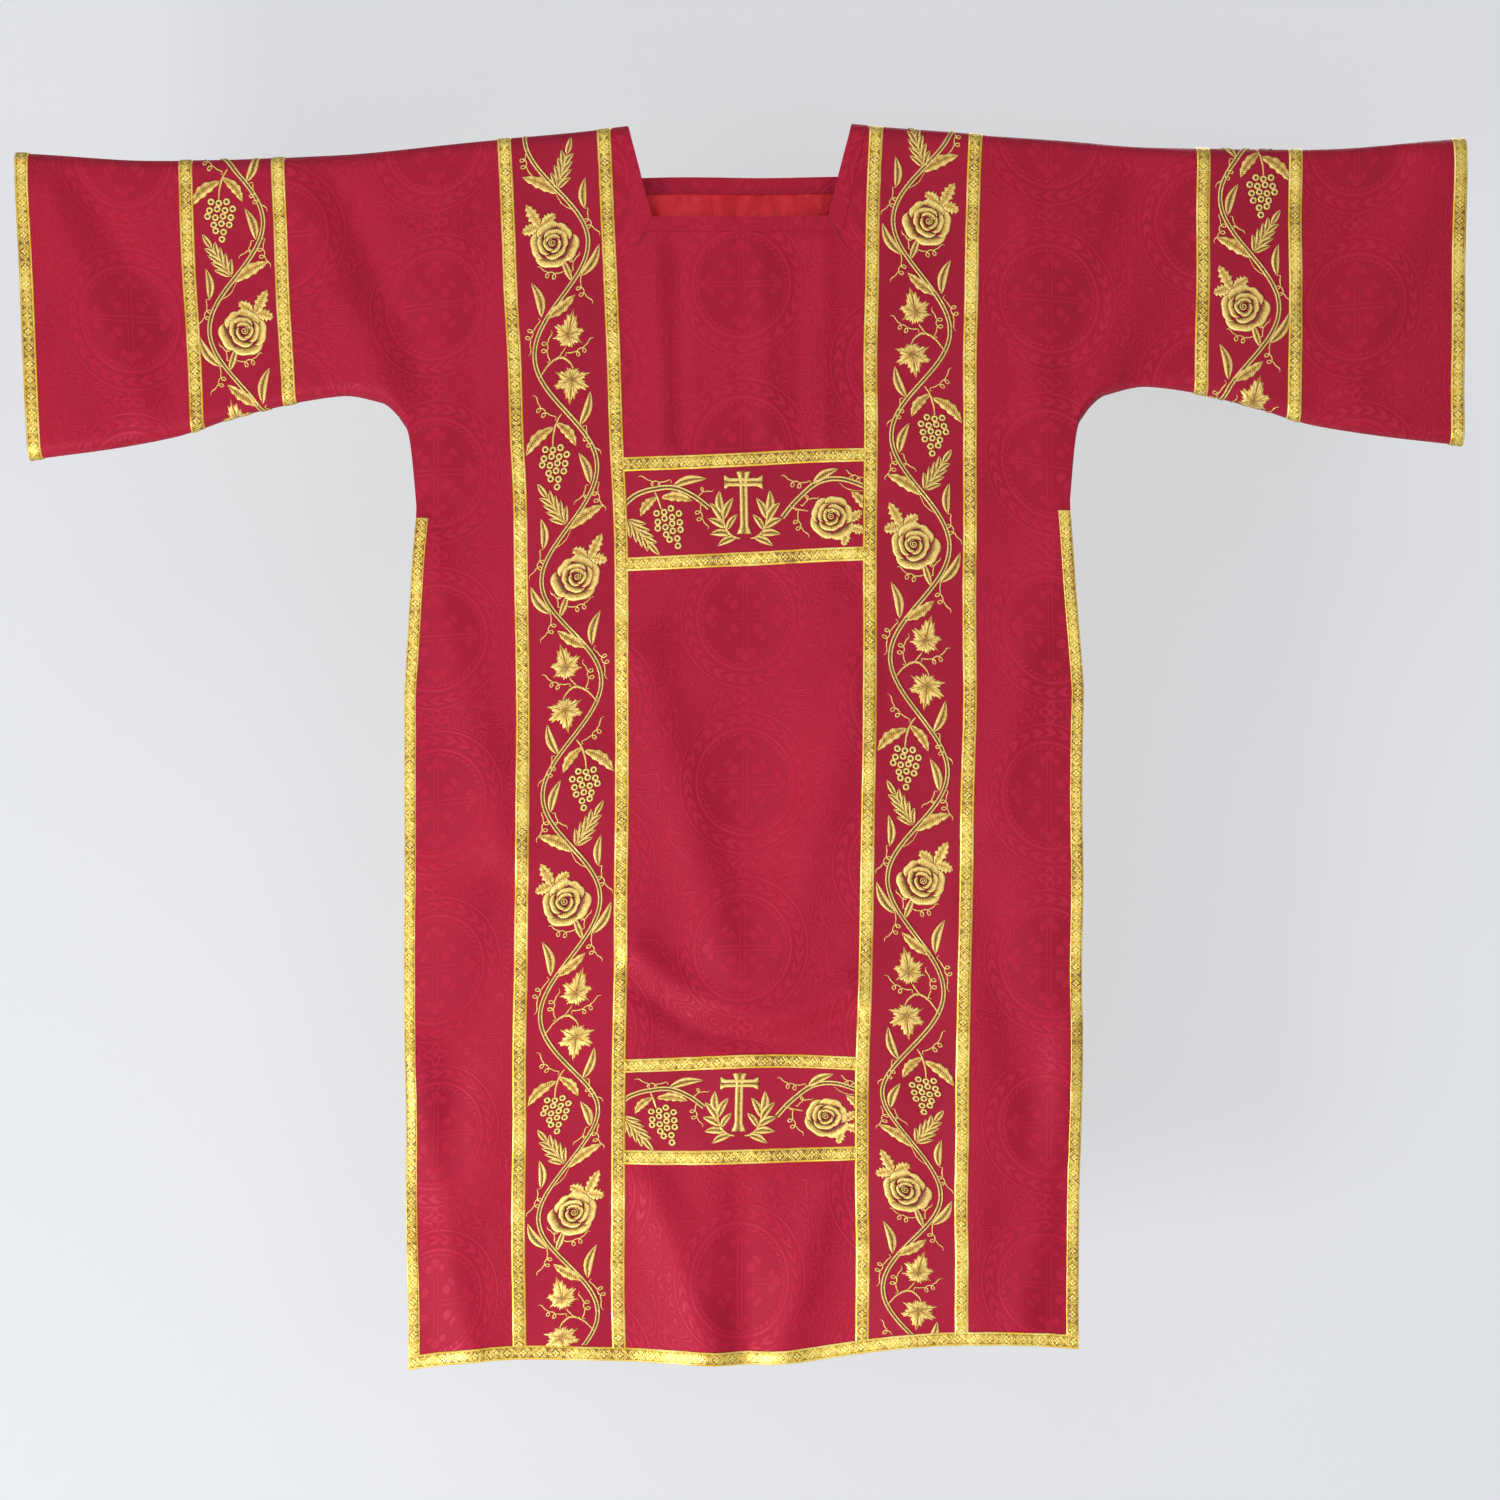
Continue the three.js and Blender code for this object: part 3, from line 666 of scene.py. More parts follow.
# neck facings, outside and turned in
facingCut = {
    "spacing": 0.004, "thick": 0.0007, "turnedIn": -0.0006, "innerWider": 0.002, "belowBraid": 0.0004,
    "marginAcross": 0.003, "marginDown": 0.004,
}
facingLevel = level["galloon"] - facingCut["belowBraid"]
for face in (-1, 1):
    faceName = faceNames[face]
    facings = []
    for part, out, wide in (("outer", facingLevel, cut["facing"]),
                            ("inner", facingCut["turnedIn"], cut["facing"] + facingCut["innerWider"])):
        bm = bmesh.new()
        (topX, _), (_, lowDown) = neckLine(face, wide)
        rows = downRows(lowDown + facingCut["marginDown"], facingCut["spacing"])
        reach = topX + facingCut["marginAcross"]
        columns = steps(-reach, reach, round(2 * topX / facingCut["spacing"]))
        layGrid(bm, columns, rows, flatRule)
        cutNeck(bm, neckLine(face, wide), False)
        cutNeck(bm, neckLine(face), True)
        thread = bm.loops.layers.uv.verify()
        for f in bm.faces:
            sideways = abs(f.calc_center_median().x) > neckLine(face)[1][0]
            for loop in f.loops:
                x, z = loop.vert.co.x, loop.vert.co.z
                loop[thread].uv = (z + 0.06, x) if sideways else (x + 0.04, z + 0.03)
        wrapFlat(bm, face, out)
        facings.append(finishPiece(f"{faceName}_neck_facing_{part}", bm, damask, facingCut["thick"]))
    for facing in facings:
        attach(facing, torso)
    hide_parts(f"{faceName}_neck_facing")
print("neck facings done")

# sleeves: a tube of damask from the armhole to the cuff, lined
sleeveCut = {
    "columns": 88, "spread": 1.6, "straightRows": 38, "rollRows": 6, "thick": 0.0009,
    "liningColumns": 60, "liningShort": 0.004, "startGap": 0.00001, "joinGap": 0.00006,
    "backShift": 0.05, "bendFrom": 0.345, "bendTo": 0.400,
}


# stations right round a sleeve, closed at the underarm and over the top
def sleeveLoop(count):
    rolled = [i / sleeveCut["rollRows"] for i in range(sleeveCut["rollRows"])]
    half = [("top", r) for r in rolled] + [("mid", s) for s in steps(0, 1, count)]
    half += [("low", 1 - r) for r in reversed(rolled)]
    return [(-1, row) for row in half] + [(1, row) for row in reversed(half)][1:]


def sleeveDown(part, share, run):
    return {"top": share * quarter, "mid": quarter + share * (run - 2 * quarter),
            "low": run - quarter + share * quarter}[part]


# joins the ends of a grid that goes right round a sleeve, and turns it outwards
def closeTube(bm):
    bmesh.ops.remove_doubles(bm, verts=bm.verts, dist=sleeveCut["joinGap"])
    bmesh.ops.recalc_face_normals(bm, faces=bm.faces)
    if sum(f.normal.y * f.calc_center_median().y for f in bm.faces) < 0:
        bmesh.ops.reverse_faces(bm, faces=bm.faces)


def sleeveTube(name, side, reachTo, out, columns, material, thick, shiftUv=0.0):
    bm = bmesh.new()
    reachFrom = cut["bodyHalf"] + sleeveCut["startGap"]
    width = reachTo - reachFrom
    reaches = [reachFrom + width * (i / columns) ** sleeveCut["spread"] for i in range(columns + 1)]

    def rule(reach, station):
        face, (part, share) = station
        down = sleeveDown(part, share, sleeveRun(reach))
        point = garmentPoint(face, side * reach, down, out, True)
        return point, (side * reach, -down if face < 0 else -down - shiftUv), 0.5

    layGrid(bm, reaches, sleeveLoop(sleeveCut["straightRows"]), rule)
    closeTube(bm)
    return finishPiece(name, bm, material, thick)


for side, sideName in sideNames.items():
    outer = sleeveTube(
        f"{sideName}_sleeve_damask", side, cut["sleeveReach"], level["cloth"], sleeveCut["columns"],
        damask, sleeveCut["thick"], sleeveCut["backShift"],
    )
    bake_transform(outer)
    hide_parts(f"{sideName}_sleeve_front", f"{sideName}_sleeve_back", f"{sideName}_sleeve_fold")
    inner = sleeveTube(
        f"{sideName}_sleeve_satin", side, cut["sleeveReach"] - sleeveCut["liningShort"], level["lining"],
        sleeveCut["liningColumns"], satin, panelCut["liningThick"],
    )
    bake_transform(inner)
    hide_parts(f"{sideName}_sleeve_lining")
print("sleeves done")


# a point of the body cloth at a level z of the flat pattern
def onBody(face, x, z, out):
    return garmentPoint(face, x, quarter + shoulderTop(x) - cut["hollow"] - z, out)


trimCut = {
    "rowSpacing": 0.004, "silkSpacing": 0.007, "crown": 0.0004, "tuck": 0.0006, "thick": 0.0006,
    "edge": 0.93, "wobble": 0.00025, "ripple": 0.00030,
}


# ways across a strip; a braid gets a narrow cell at each edge, which turns down to the cloth
def stripShares(crown, columns):
    if crown:
        return [-1.0, *steps(-trimCut["edge"], trimCut["edge"], columns), 1.0]
    return steps(-1, 1, columns)


# how far out a strip lies; a braid is raised in the middle and ripples a little along its length
def stripOut(out, crown, share, row, seed):
    if not crown:
        return out
    ripple = trimCut["ripple"] * noise.noise(Vector((row * 95, share * 1.3, seed)))
    lift = crown * (1 - share**4) - (crown if abs(share) > trimCut["edge"] else 0)
    return out + lift + ripple


# one strip; place gives its points from the way across, the way along and how far out
def stripPiece(name, face, halfStrip, rows, place, out, material, body, nodes, crown=0.0,
               columns=6, drawn=None):
    bm = bmesh.new()

    def rule(share, row):
        wobble = trimCut["wobble"] * noise.noise(Vector((row * 70, share * 2, 5))) if crown else 0.0
        point = place(share * halfStrip + wobble, row, stripOut(out, crown, share, row, 9))
        return point, (drawn or (lambda a, b: (a, b)))(share * halfStrip, row), 0.5

    _, faces = layGrid(bm, stripShares(crown, columns), rows, rule)
    faceOut(faces, face)
    piece = finishPiece(name, bm, material, trimCut["thick"])
    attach(piece, body)
    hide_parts(*nodes)
    return piece


trims = {-1: [], 1: []}
galloonLevel = level["galloon"] - trimCut["crown"]
hemTop = -cut["bodyLength"] + cut["galloon"]


def hangingRows(lowZ, spacing, x):
    return downRows(quarter + shoulderTop(x) - cut["hollow"] - lowZ, spacing)


# clavi: two long silk strips, each between two galloons, over the shoulder and down to the hem
for face in (-1, 1):
    faceName = faceNames[face]
    for side, sideName in sideNames.items():
        stem = f"{faceName}_{sideName}_clavus"

        def clavusPlace(middle):
            def place(across, down, out):
                z = min(0.0, quarter - cut["hollow"] - down)
                return garmentPoint(face, side * (clavusCentre(z) + middle + across), down, out)
            return place

        trims[face].append(stripPiece(
            f"{stem}_silk", face, cut["clavus"] / 2 + trimCut["tuck"],
            hangingRows(hemTop - 0.001, trimCut["silkSpacing"], cut["clavusLow"]), clavusPlace(0.0),
            level["silk"], silk, torso, [stem], columns=14,
            drawn=lambda a, b: (a + 0.031, -b),
        ))
        for galloonName, way in (("inner", -1), ("outer", 1)):
            middle = way * (cut["clavus"] + cut["galloon"]) / 2
            trims[face].append(stripPiece(
                f"{stem}_{galloonName}_braid", face, cut["galloon"] / 2,
                hangingRows(hemTop - 0.0005, trimCut["rowSpacing"], cut["clavusLow"] + middle),
                clavusPlace(middle), galloonLevel, braid, torso,
                [f"{stem}_{galloonName}_galloon"], crown=trimCut["crown"],
            ))
        slitRows = steps(-cut["slitTop"], hemTop - 0.0005, 220)
        trims[face].append(stripPiece(
            f"{faceName}_{sideName}_slit_braid", face, cut["slitGalloon"] / 2, slitRows,
            lambda across, z, out: onBody(
                face, side * (halfWidth(z) - cut["slitGalloon"] / 2 + across), z, out),
            galloonLevel, braid, torso, [f"{faceName}_{sideName}_slit_galloon"],
            crown=trimCut["crown"],
        ))

    # cross bands between the clavi
    for bandName, top in (("upper", cut["upperBand"]), ("lower", cut["lowerBand"])):
        silkTop = -top - cut["galloon"]
        bandEnd = clavusCentre(silkTop) - cut["clavus"] / 2 - cut["galloon"] + 0.001
        parts = (
            ("silk", "", silkTop - cut["bandHeight"] / 2, cut["bandHeight"] / 2 + trimCut["tuck"]),
            ("top_braid", "_top_galloon", -top - cut["galloon"] / 2, cut["galloon"] / 2),
            ("low_braid", "_low_galloon", silkTop - cut["bandHeight"] - cut["galloon"] / 2,
             cut["galloon"] / 2),
        )
        for partName, nodeEnd, middle, halfStrip in parts:
            isSilk = partName == "silk"
            trims[face].append(stripPiece(
                f"{faceName}_{bandName}_band_{partName}", face, halfStrip,
                steps(-bandEnd, bandEnd, 34 if isSilk else 66),
                lambda across, x, out: onBody(face, x, middle + across, out),
                level["silk"] if isSilk else galloonLevel, silk if isSilk else braid,
                torso, [f"{faceName}_{bandName}_band{nodeEnd}"],
                crown=0.0 if isSilk else trimCut["crown"], columns=13 if isSilk else 6,
                drawn=(lambda a, b: (b + 0.05, a)) if isSilk else None,
            ))

    hemReach = halfWidth(-cut["bodyLength"])
    trims[face].append(stripPiece(
        f"{faceName}_hem_braid", face, cut["galloon"] / 2, steps(-hemReach, hemReach, 176),
        lambda across, x, out: onBody(face, x, -cut["bodyLength"] + cut["galloon"] / 2 + across, out),
        galloonLevel + 0.0002, braid, torso, [f"{faceName}_hem_galloon"],
        crown=trimCut["crown"],
    ))
print("body strips done")


# a strip right round a sleeve
def sleeveRing(name, side, low, high, out, count, columns, material, node, crown=0.0):
    bm = bmesh.new()
    middle, half = (low + high) / 2, (high - low) / 2

    def rule(share, station):
        face, (part, way) = station
        reach = middle + share * half
        down = sleeveDown(part, way, sleeveRun(reach))
        drawn = (share * half, face * down) if crown else (reach, -down)
        raised = stripOut(out, crown, share, down, 9 + face)
        return garmentPoint(face, side * reach, down, raised, True), drawn, 0.5

    layGrid(bm, stripShares(crown, columns), sleeveLoop(count), rule)
    closeTube(bm)
    piece = finishPiece(name, bm, material, trimCut["thick"])
    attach(piece, f"{sideNames[side]}_sleeve")
    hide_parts(node)
    return piece


sleeveTrims = {1: [], -1: []}
bandStart, bandStop = cut["sleeveBand"], cut["sleeveBand"] + cut["sleeveBandWidth"]
for side, sideName in sideNames.items():
    stem = f"{sideName}_sleeve"
    rings = (
        ("band_silk", bandStart - trimCut["tuck"], bandStop + trimCut["tuck"], "orphrey"),
        ("inner_braid", bandStart - cut["galloon"], bandStart, "inner_galloon"),
        ("outer_braid", bandStop, bandStop + cut["galloon"], "outer_galloon"),
        ("cuff_braid", cut["sleeveReach"] - cut["galloon"], cut["sleeveReach"], None),
    )
    for partName, low, high, nodeEnd in rings:
        isSilk = partName == "band_silk"
        node = f"{stem}_{nodeEnd}" if nodeEnd else f"{sideName}_cuff_galloon"
        sleeveTrims[side].append(sleeveRing(
            f"{stem}_{partName}", side, low, high, level["silk"] if isSilk else galloonLevel,
            40 if isSilk else 70, 12 if isSilk else 6, silk if isSilk else braid,
            node, 0.0 if isSilk else trimCut["crown"],
        ))
print("sleeve strips done")


# the direction from one point to another, and how far apart they are
def heading(base, tip):
    run, rise = tip[0] - base[0], tip[1] - base[1]
    size = math.hypot(run, rise) or 1.0
    return run / size, rise / size, size


# embroidery: laid in millimetres, t across and s down a strip, raised in relief
class Stitcher:
    # clip takes t and s, and gives them held inside the strip
    def __init__(self, place, face, clip=None):
        self.bm, self.place, self.face = bmesh.new(), place, face
        self.clip = clip or (lambda t, s: (t, s))
        self.flip, self.shift, self.lift = 1, 0.0, 0.25

    # rule gives t, s, height, thread across, thread along and tone; the tone is mostly painted shade and
    # highlight on the relief
    def patch(self, columns, rows, rule):
        beyond = []

        def laid(column, row):
            t, s, height, across, along, tone = rule(column, row)
            t, s = self.flip * t, s + self.shift
            heldT, heldS = self.clip(t, s)
            beyond.append(abs(heldT - t) + abs(heldS - s) > 1e-6)
            return self.place(heldT, heldS, self.lift + height), (across / 1000, along / 1000), tone

        corners = [self.clip(self.flip * t, s + self.shift) == (self.flip * t, s + self.shift) for t, s in (
            rule(column, row)[:2] for column in columns[::max(1, len(columns) // 3)]
            for row in rows[::max(1, len(rows) // 4)])]
        if not any(corners):
            return
        verts, faces = layGrid(self.bm, columns, rows, laid)
        if any(beyond):
            outside = {vert for vert, out in zip(verts, beyond) if out}
            gone = [f for f in faces if all(vert in outside for vert in f.verts)]
            faces = [f for f in faces if f not in set(gone)]
            bmesh.ops.delete(self.bm, geom=gone, context="FACES")
        faceOut(faces, self.face)

    # a twisted cord along a path; its tones paint the edges darker and the top brighter, as painted shade and
    # highlight
    def strand(self, path, width, height, tones=(0.25, 0.85, 0.45)):
        shares = steps(-1, 1, len(tones) - 1)
        tops = [0.0, *[height] * (len(tones) - 2), 0.0]
        last = len(path) - 1

        def rule(share, place):
            i = round(place)
            run, rise, size = heading(path[max(0, i - 1)], path[min(last, i + 1)])
            taper = min(1.0, 0.45 + 0.18 * min(i, last - i))
            off = share * width / 2 * taper
            index = round((share + 1) / 2 * (len(tones) - 1))
            along = i * size / 2
            return (
                path[i][0] - rise * off, path[i][1] + run * off,
                tops[index] * taper, along + 0.8 * off, off, tones[index],
            )

        self.patch(shares, list(range(len(path))), rule)

    # a leaf with a groove down its middle; teeth notch its edge
    def leaf(self, base, tip, width, bend=0.0, teeth=0, notch=0.0, height=1.15, rows=8, groove=0.08):
        run, rise, size = heading(base, tip)
        # the tone in the shape is painted highlight on the raised rims and painted shade in the middle groove
        shape = {-1.0: (0.0, 0.45), -0.78: (1.0, 1.05), -0.34: (0.85, 0.62), 0.0: (0.10, groove),
                 0.30: (0.80, 0.45), 0.76: (1.0, 0.95), 1.0: (0.0, 0.35)}

        def rule(share, way):
            full = math.sin(math.pi * min(1.0, way ** 0.85)) ** 0.8 * width / 2
            saw = (way * teeth) % 1.0 if teeth else 0.0
            edge = 1 - notch * saw * (abs(share) > 0.9) - notch * 0.6 * saw * (0.6 < abs(share) < 0.9)
            a = share * full * edge
            b = size * way + (2.2 * notch * (1 - saw) * abs(share) ** 2 * (0.1 < way < 0.95) if teeth else 0)
            sway = bend * math.sin(math.pi * way) * size
            t = base[0] + run * b - rise * (a + sway)
            s = base[1] + rise * b + run * (a + sway)
            top, tone = shape[share]
            top *= min(1.0, 6 * way * (1 - way) + 0.12)
            if teeth:
                tone += 0.26 * (abs(share) < 0.5) - 0.34 * saw * (abs(share) > 0.2)
            return t, s, top * height, b + 0.7 * abs(a), a, tone

        self.patch(list(shape), steps(0, 1, rows), rule)

    # a large leaf with four stitched teeth on each side
    def toothed(self, base, tip, width, bend, notch):
        self.leaf(base, tip, width, bend=bend, teeth=4, notch=notch, rows=13)

    # a thin cord that curls over itself on its way
    def tendril(self, base, tip, loops, side=1, radius=3.3, width=1.4):
        run, rise, size = heading(base, tip)
        advance = 7.4
        curl = loops * advance
        start = max(2.5, (size - curl) * 0.40)
        bow = min(6.5, size * 0.20)

        def bezier(corners, count):
            for i in range(count):
                w = i / count
                yield tuple(
                    a * (1 - w)**3 + 3 * b * w * (1 - w)**2 + 3 * c * w * w * (1 - w) + d * w**3
                    for a, b, c, d in zip(*corners)
                )

        path = list(bezier(((0, 0), (start * 0.1, -side * bow), (start * 0.4, -side * 0.8), (start, 0)), 6))
        count = 14 * loops
        for i in range(count):
            turn = 2 * math.pi * i / 14
            path.append((start + advance * turn / (2 * math.pi) + radius * math.sin(turn),
                         side * radius * (1 - math.cos(turn))))
        begun, left = start + curl, size - start - curl
        hook = (begun + left * 0.55, -side * bow * 1.2)
        path += bezier(((begun, 0), (begun + left * 0.35, 0), hook, (size, 0)), 8)
        laid = [(base[0] + run * b - rise * a, base[1] + rise * b + run * a) for b, a in path]
        self.strand(laid, width, 0.85, (0.3, 1.0, 0.5))

    def wheat(self, base, tip, pairs=4, length=18.5, width=6.6):
        run, rise, size = heading(base, tip)
        self.strand([
            (base[0] + run * size * 0.7 * i / 6, base[1] + rise * size * 0.7 * i / 6) for i in range(7)
        ], 1.4, 0.8)
        for i in range(pairs):
            way = size * (0.01 + 0.62 * i / pairs)
            for side in (-1, 1):
                lean = math.radians(35 - 4 * i) * side
                reach = length * (1 - 0.05 * i)
                startT = base[0] + run * way - rise * side * 0.9
                startS = base[1] + rise * way + run * side * 0.9
                goT = run * math.cos(lean) - rise * math.sin(lean)
                goS = rise * math.cos(lean) + run * math.sin(lean)
                self.leaf((startT, startS), (startT + goT * reach, startS + goS * reach), width,
                          bend=-0.07 * side, rows=6, height=1.25, groove=0.02)
        way = size - length
        self.leaf((base[0] + run * way, base[1] + rise * way), tip, width * 1.05, rows=6, groove=0.02)

    def spray(self, leaves, width):
        for base, tip in leaves:
            self.leaf(base, tip, width, teeth=5, notch=0.62, rows=15, height=1.0, groove=0.20)

    def grape(self, t0, s0):
        radius = 4.15
        # the raised ring is painted bright as painted highlight and the dimple dark as painted shade; lit
        # paints one side of each grape lighter and the other darker
        rings = {0.0: (0.30, 0.0), 0.34: (0.35, 0.02), 0.58: (1.60, 1.10),
                 0.82: (1.30, 0.80), 1.0: (0.0, 0.15)}

        def rule(bearing, share):
            top, tone = rings[share]
            offT = -0.12 * (1 - share) * radius
            t = t0 + offT + share * radius * math.cos(bearing)
            s = s0 + share * radius * math.sin(bearing)
            lit = 0.12 * math.cos(bearing + 2.3) * share
            return t, s, top, bearing * 3, share * 3, tone + lit

        self.patch(steps(0, 2 * math.pi, 9), list(rings), rule)

    def grapes(self, centre, lean=0.0):
        t0, s0 = centre
        turnT, turnS = math.cos(lean), math.sin(lean)
        for row, count in enumerate((3, 4, 4, 3, 2, 1)):
            for i in range(count):
                a = (i - (count - 1) / 2) * 8.1 + (1.6 if row % 2 else -0.6)
                b = (row - 2.5) * 7.6 + 1.4 * ((i + row) % 2)
                self.grape(t0 + a * turnT - b * turnS, s0 + a * turnS + b * turnT)

    # one curved petal about a middle point
    def petal(self, centre, bearing, spread, inner, outer, raised, skew):
        # the tone runs from painted shade at the inner edge, under the next petal, to a painted highlight on
        # the raised outer rim
        profile = {0.0: (0.0, 0.0), 0.16: (0.50, 0.22), 0.42: (0.95, 0.60), 0.70: (1.15, 0.82),
                   0.90: (1.0, 1.10), 1.0: (0.0, 0.22)}

        def rule(share, way):
            angle = bearing + share * spread
            dent = 0.05 * math.exp(-(share / 0.22) ** 2)
            high = outer * (1 - 0.22 * abs(share) ** 4 - dent) + skew * share
            low = inner * (1 + 0.03 * share * share) + skew * share * 0.8
            low += (high - low) * 0.86 * abs(share) ** 4
            r = low + (high - low) * way
            top, tone = profile[way]
            top *= 1 - 0.55 * share ** 4
            # painted shade and highlight of small wrinkles; the petal's surface itself stays smooth
            paintedWrinkleShading = 0.05 * math.sin(share * 9 + bearing * 3)
            return (centre[0] + r * math.cos(angle), centre[1] + r * math.sin(angle),
                    raised + top * 1.15, angle * outer, r, tone + paintedWrinkleShading)

        self.patch(steps(-1, 1, 11), list(profile), rule)

    def rose(self, centre, size=1.0, turned=0.0):
        # bearing in degrees, half spread, inner and outer radius, height, spiral
        petals = [
            (98, 56, 15.6, 25.6, 0.0, 1.6), (176, 46, 15.4, 25.2, 0.20, 1.8),
            (20, 44, 15.8, 27.0, 0.10, -1.8), (-48, 34, 14.2, 24.2, 0.30, -1.4),
            (-112, 40, 14.6, 25.2, 0.10, 1.4),
            (66, 60, 9.6, 16.6, 0.60, 1.6), (168, 54, 9.8, 16.8, 0.75, 1.7), (-88, 58, 9.2, 15.8, 0.65, 1.5),
            (-14, 46, 9.6, 16.8, 0.85, -1.5),
            (36, 72, 4.9, 10.0, 1.10, 1.3), (152, 66, 4.8, 9.8, 1.20, 1.2), (-98, 70, 4.6, 9.6, 1.15, 1.3),
        ]
        offset = ((0.0, 0.0), (-0.6, -0.9), (-1.0, -1.5))
        for i, (bearing, spread, inner, outer, raised, spiral) in enumerate(petals):
            moved = offset[(i > 4) + (i > 8)]
            middle = (centre[0] + moved[0] * size, centre[1] + moved[1] * size)
            self.petal(middle, math.radians(bearing) + turned, math.radians(spread),
                       inner * size, outer * size, raised, spiral * size)
        centre = (centre[0] - 1.2 * size, centre[1] - 1.8 * size)
        coil = []
        for i in range(27):
            turn = turned + i * 0.42
            radius = (0.4 + 0.145 * i) * size
            coil.append((centre[0] + radius * math.cos(turn), centre[1] + radius * math.sin(turn)))
        self.lift += 1.0
        self.strand(coil, 1.7 * size, 1.0, (0.10, 1.05, 0.65, 0.05))
        self.lift -= 1.0

    # a lobed vine leaf with stitches fanning from its foot
    def vineLeaf(self, base, tip, width):
        run, rise, size = heading(base, tip)
        heart = 0.36
        pairs = ((64, width * 0.54, 34), (112, width * 0.50, 26), (156, size * 0.38, 20))
        lobes = [(0, size * (1 - heart), 40)]
        lobes += [(side * lobe, longest, spread) for lobe, longest, spread in pairs for side in (1, -1)]
        profile = {0.0: (0.65, 0.45), 0.12: (0.80, 0.58), 0.45: (1.15, 0.84),
                   0.84: (0.95, 1.05), 1.0: (0.0, 0.50)}

        def rule(bearing, way):
            degrees = math.degrees(bearing)
            reach = size * 0.24
            vein = 0.0
            for lobe, longest, spread in lobes:
                gap = abs((degrees - lobe + 180) % 360 - 180)
                reach = max(reach, longest * (1.03 - 0.56 * min(1.0, gap / spread) ** 0.85))
                vein = max(vein, 1 - gap / 5)
            saw = abs(math.sin(bearing * 13))
            if way > 0.5:
                reach *= 1 - 0.19 * saw
            r = reach * way
            a, b = r * math.sin(bearing), size * heart + r * math.cos(bearing)
            top, tone = profile[way]
            # painted shade darkens the lowered veins; the darker radial bands follow the stitches
            tone -= 0.42 * max(0.0, vein) * (way < 0.9) + 0.34 * (1 - saw) * (0.1 < way < 1)
            t = base[0] + run * b - rise * a
            s = base[1] + rise * b + run * a
            return t, s, top - 0.25 * max(0.0, vein), bearing * 9, r, tone

        self.patch(steps(-math.pi, math.pi, 52), list(profile), rule)

    # the two-cord vine, its tones painting the raised cords bright as painted highlight and the lower filling
    # between them dark as painted shade
    def vine(self, points, width=5.0):
        tones = (0.30, 1.10, 0.75, 0.05, 0.10, 0.70, 1.05, 0.30)
        shares = [-1.0, -0.80, -0.48, -0.22, 0.22, 0.48, 0.80, 1.0]
        tops = (0.0, 1.0, 0.95, 0.30, 0.30, 0.95, 1.0, 0.0)
        last = len(points) - 1

        def rule(index, i):
            run, rise, size = heading(points[max(0, i - 1)], points[min(last, i + 1)])
            off = shares[index] * width / 2
            return (points[i][0] - rise * off, points[i][1] + run * off,
                    tops[index] * 1.2, i * size / 2 + 0.9 * off, off, tones[index])

        self.patch(list(range(len(shares))), list(range(len(points))), rule)

    def done(self, name, body, nodes=()):
        piece = finishPiece(name, self.bm, goldThread)
        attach(piece, body)
        if nodes:
            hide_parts(*nodes)
        return piece


# one length of the vine pattern in millimetres; it repeats, mirrored, after each length
vineCut = {"pitch": 348.0, "halfWave": 116, "sway": 31, "step": 3, "ahead": 60, "shoulderOffset": -20}


